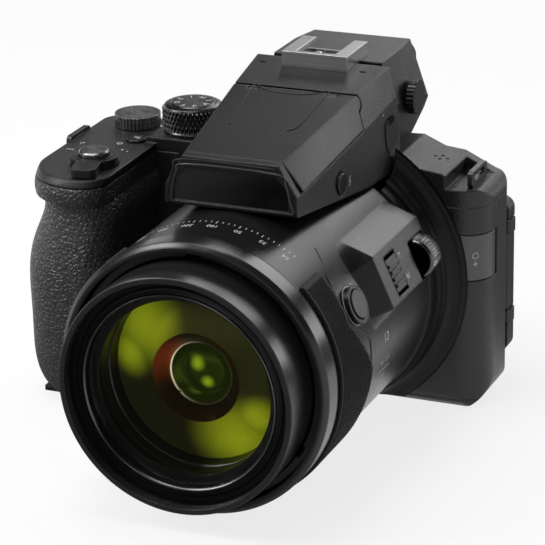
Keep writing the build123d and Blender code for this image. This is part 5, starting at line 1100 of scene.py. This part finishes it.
side_outline = [(0.02, 31.6), (4.2, 31.6), (4.5, 32.0), (4.6, 34.7), (4.9, 35.15), (5.5, 35.3), (5.9, 35.0),
                (6.1, 34.4), (6.15, 33.8, 0.42), (6.25, 33.5, 0.42), (6.25, 27.8, 0.42), (6.1, 27.4, 0.3),
                (5.8, 27.1), (0.02, 27.1)]
side_dial = make_piece(
    "ribbed_side_dial",
    [turned(side_outline, (39.47, 0, 56.6), (0, -1, 0), segments=side_dial_ribs * 6, relief=rib_relief)],
    dial_metal, "side_dial_body", smooth_angle=35,
)
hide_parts("side_dial")

# Printed marks: white ink, pad-printed thinly on the covers, the barrel and
# the controls. They are plain numbers, ticks and everyday symbols.
white_ink, tree = new_material("white_ink")
ink_grain = noise_over(tree, 2400.0)
ink_tone = colour_between(tree, ink_grain, (0.42, 0.42, 0.42), (0.72, 0.72, 0.71))
ink_dull = math_node(tree, "MULTIPLY_ADD", ink_grain, 0.2, 0.35)
close_material(tree, ink_tone, ink_dull, ink_grain, 0.00001, None)
ink_sink, ink_proud = -0.12, 0.045
font_capital = 0.73


def letters(text, height, place):
    """Letters of that capital height, centred on a place."""
    font = bpy.data.curves.new("letters", "FONT")
    font.body = text
    font.align_x = "CENTER"
    font.extrude = 0.5
    holder = bpy.data.objects.new("letters", font)
    drawn = bpy.data.meshes.new_from_object(holder)
    scale = height / font_capital
    tallest = max(vertex.co.y for vertex in drawn.vertices)
    points = []
    for vertex in drawn.vertices:
        lift = ink_proud if vertex.co.z > 0 else ink_sink
        points.append(place(vertex.co.x * scale, (vertex.co.y - tallest / 2) * scale, lift))
    faces = [tuple(face.vertices) for face in drawn.polygons]
    bpy.data.objects.remove(holder)
    bpy.data.curves.remove(font)
    bpy.data.meshes.remove(drawn)
    return points, faces


def stroke(line, width, place):
    """A printed line of even width through flat points."""
    rings = []
    for index, (u, v) in enumerate(line):
        before, after = line[max(index - 1, 0)], line[min(index + 1, len(line) - 1)]
        run = Vector((after[0] - before[0], after[1] - before[1])).normalized() * (width / 2)
        rings.append(
            [place(u - run.y, v + run.x, ink_sink), place(u - run.y, v + run.x, ink_proud),
             place(u + run.y, v - run.x, ink_proud), place(u + run.y, v - run.x, ink_sink)]
        )
    return sweep(rings, closed_along=False)


def arc(radius, start, end, steps=24, middle=(0, 0)):
    """Flat points along an arc, by angles in degrees."""
    points = []
    for step in range(steps + 1):
        turn = math.radians(start + (end - start) * step / steps)
        points.append((middle[0] + math.cos(turn) * radius, middle[1] + math.sin(turn) * radius))
    return points


def dot(radius, place, middle=(0, 0)):
    """A printed round dot."""
    return low_button(lambda u, v, w: place(u + middle[0], v + middle[1], w), radius, ink_proud, count=12)


def barrel_top(turn, y):
    """A place on the barrel's top that reads from behind the camera."""
    return lambda u, v, w: round_the_barrel(turn - math.degrees(u / barrel_round), y - v, barrel_round + w)[0]


def barrel_side(turn, y):
    """A place on the barrel's right side that reads from that side."""
    return lambda u, v, w: round_the_barrel(turn - math.degrees(v / barrel_round), y + u, barrel_round + w)[0]


barrel_marks = []
for index, number in enumerate(("24", "35", "50", "100", "200", "400", "600")):
    barrel_marks.append(letters(number, 1.7, barrel_top(33 - index * 11, -90.6)))
for step in range(29):
    long_tick = step % 4 == 2
    barrel_marks.append(stroke([(0, 0), (0, 1.6 if long_tick else 0.9)], 0.22, barrel_top(35 - step * 2.5, -86.6)))
barrel_marks.append(letters("12", 3.0, barrel_side(88.5, -60.2)))
barrel_marks.append(letters("0  1  2  3", 1.25, barrel_side(99.0, -60.2)))
barrel_marks.append(stroke([(-4.4, 0), (4.4, 0)], 0.22, barrel_side(103.2, -60.2)))
barrel_marks.append(letters("4  5  6", 1.25, barrel_side(106.4, -60.2)))
snap_place = barrel_side(65.9, -77.0)
barrel_marks.append(stroke(arc(5.7, 60, 400, 40), 0.24, snap_place))
for turn in (10, 25, 40, 55):
    barrel_marks.append(dot(0.26, snap_place, arc(6.6, turn, turn, 1)[0]))
box_out = Vector((0.9135, 0, 0.4067))
box_tall = Vector((-0.4067, 0, 0.9135))


def on_box(y, v):
    """A place on the control box's sloping face."""
    middle = Vector((0, y, lens_axis_height)) + box_out * 44.6 + box_tall * v
    return lambda u, v, w: middle + Vector((0, u, 0)) + box_tall * v + box_out * w


barrel_marks.append(letters("T", 1.8, on_box(-46.8, 3.3)))
barrel_marks.append(letters("W", 1.8, on_box(-46.8, -3.3)))
make_piece("barrel_marks", barrel_marks, white_ink, "camera_body", smooth_angle=20)

# Marks on the top plate, the hump and the flap, printed the same way
back_up = (0, -1, 0)
top_marks = []
power_mark = surface_place("top_cover", (-64.7, -15.2, 120), down, back_up)
top_marks.append(stroke(arc(0.85, 125, 415, 20), 0.24, power_mark))
top_marks.append(stroke([(0, 0.2), (0, 1.25)], 0.24, power_mark))
top_marks.append(dot(0.42, surface_place("top_cover", (-61.3, -20.6, 120), down, back_up)))
top_marks.append(dot(0.3, surface_place("top_cover", (-59.2, -21.5, 120), down, back_up)))
wide_mark = surface_place("top_cover", (-76.8, -25.6, 120), down, back_up)
for shift in (-0.9, 0, 0.9):
    top_marks.append(stroke([(shift - 0.3, -0.6), (shift, 0.6), (shift + 0.3, -0.6)], 0.2, wide_mark))
tele_mark = surface_place("top_cover", (-76.0, -18.9, 120), down, back_up)
top_marks.append(stroke([(-0.75, -0.8), (0, 1.0), (0.75, -0.8), (-0.75, -0.8)], 0.22, tele_mark))
mode_index = surface_place("top_cover", (-56.9, -0.5, 120), down, back_up)
top_marks.append(stroke([(-0.6, 0), (0.6, 0)], 0.5, mode_index))
bolt_mark = surface_place("hump_housing", (60, -42.4, 81.6), (-1, 0, 0), (0, 0, 1))
top_marks.append(stroke([(0.5, 1.5), (-0.45, -0.1), (0.45, 0.1), (-0.5, -1.5)], 0.26, bolt_mark))
jack_mark = surface_place("hump_housing", (60, -15.9, 93.6), (-1, 0, 0), (0, 0, 1))
top_marks.append(dot(0.3, jack_mark))
make_piece("top_marks", top_marks, white_ink, "camera_body", smooth_angle=20)
flap_mark = surface_place("connector_cover", (90.1, -49.3, 50.1), (-1, 1, 0), (0, 0, 1))
flap_marks = [
    stroke(arc(0.9, 0, 360, 20), 0.2, flap_mark), stroke([(0, -3.4), (0, -1.8)], 0.24, flap_mark),
    stroke([(-0.7, -2.6), (0.7, -2.6)], 0.24, flap_mark),
]
make_piece("flap_marks", flap_marks, white_ink, "connector_cover_body", smooth_angle=20)

# Marks that turn with the mode dial: letters and symbols round its rim
mode_marks = []
mode_signs = ("P", "A", "S", "M", "1", "2", None, "3")
for index, sign in enumerate(mode_signs):
    turn = math.radians(-60 + index * 45)
    outward = Vector((math.cos(turn), math.sin(turn), 0))
    rim = Vector(mode_centre) + outward * 5.0 + Vector((0, 0, mode_top))
    across = Vector((-outward.y, outward.x, 0))

    def mode_place(u, v, w, rim=rim, outward=outward, across=across):
        return rim + across * u - outward * v + Vector((0, 0, w))

    if sign:
        mode_marks.append(letters(sign, 1.9, mode_place))
    else:
        mode_marks.append(stroke(arc(0.8, 0, 360, 20), 0.26, mode_place))
make_piece("mode_marks", mode_marks, white_ink, "mode_dial_body", smooth_angle=20)

# Marks on the push buttons and on the rear controls, each riding on its button
forward = (0, -1, 0)
rear_up = (0, 0, 1)
fn_place = surface_place("fn_button", (-61.0, -10.4, 120), down, back_up)
ok_place = surface_place("ok_button", (-41.0, 60, 33.0), forward, rear_up)
play_place = surface_place("play_button", (-41.0, 60, 51.0), forward, rear_up)
menu_place = surface_place("menu_button", (-49.0, 60, 15.5), forward, rear_up)
delete_place = surface_place("delete_button", (-33.0, 60, 15.5), forward, rear_up)
display_place = surface_place("display_button", (-56.0, 60, 50.0), forward, rear_up)
lock_place = surface_place("ae_lock_button", (-60.0, 60, 62.0), forward, rear_up)
movie_place = surface_place("movie_button", (-44.0, 60, 60.6), forward, rear_up)
screen_frame = [(-1.1, -0.7), (1.1, -0.7), (1.1, 0.7), (-1.1, 0.7), (-1.1, -0.7)]
dial_reach = 7.9
selector_dots = []
for turn in range(0, 360, 90):
    angle = math.radians(turn)
    spot = (-41.0 + math.cos(angle) * dial_reach, 60, 33.0 + math.sin(angle) * dial_reach)
    selector_dots.append(dot(0.4, surface_place("selector_dial", spot, forward, rear_up)))
red_ink = moulded_plastic("red_ink", (0.45, 0.01, 0.008), 0.4, 3000.0, 0.000004, 0.1, edge=0.0)
button_marks = (
    ("fn_letters", [letters("Fn", 1.7, fn_place)], white_ink, "fn_button_body"),
    ("ok_letters", [letters("OK", 1.9, ok_place)], white_ink, "ok_button_body"),
    ("play_mark", [stroke([(-0.7, -1.0), (1.0, 0), (-0.7, 1.0), (-0.7, -1.0)], 0.26, play_place)], white_ink,
     "play_button_body"),
    ("menu_mark", [stroke([(-1.1, level), (1.1, level)], 0.26, menu_place) for level in (-0.8, 0, 0.8)], white_ink,
     "menu_button_body"),
    ("delete_mark", [stroke([(-0.7, 0.6), (-0.55, -1.0), (0.55, -1.0), (0.7, 0.6)], 0.22, delete_place),
                     stroke([(-1.0, 0.8), (1.0, 0.8)], 0.24, delete_place)], white_ink, "delete_button_body"),
    ("display_mark", [stroke(screen_frame, 0.22, display_place)], white_ink, "display_button_body"),
    ("lock_mark", [stroke([(-0.8, -0.9), (0.8, -0.9), (0.8, 0.2), (-0.8, 0.2), (-0.8, -0.9)], 0.24, lock_place),
                   stroke(arc(0.5, 0, 180, 12, (0, 0.25)), 0.22, lock_place)], white_ink, "ae_lock_button_body"),
    ("selector_marks", selector_dots, white_ink, "selector_dial_body"),
    ("movie_mark", [dot(1.1, movie_place)], red_ink, "movie_button_body"),
)
for name, shapes, ink, body in button_marks:
    make_piece(name, shapes, ink, body, smooth_angle=20)

# Monitor: a face of hard glass, bonded into the moulded panel that swings out
# on its arm. The glass carries faint smears of handling.
monitor_face, tree = new_material("monitor_face")
screen_smear = noise_over(tree, 35.0, 6.0)
screen_tone = colour_between(tree, screen_smear, (0.004, 0.005, 0.007), (0.009, 0.010, 0.013))
screen_dull = math_node(tree, "MULTIPLY_ADD", screen_smear, 0.08, 0.03)
close_material(tree, screen_tone, screen_dull, None, 0, None, Coat_Weight=1.0)
finish_nodes(monitor_face, "monitor_glass")

# Strap eyelets: bent steel loops, painted black, with bare edges where the strap has rubbed; the strongly lightened
# edges are partly painted highlight.
eyelet_paint = moulded_plastic(
    "eyelet_paint", (0.02, 0.02, 0.021), 0.3, 2500.0, 0.00001, 0.2, edge=1.6, edge_radius=0.0003, level=0.5,
    pale=(0.4, 0.4, 0.41),
)
finish_nodes(eyelet_paint, "strap_eyelets")
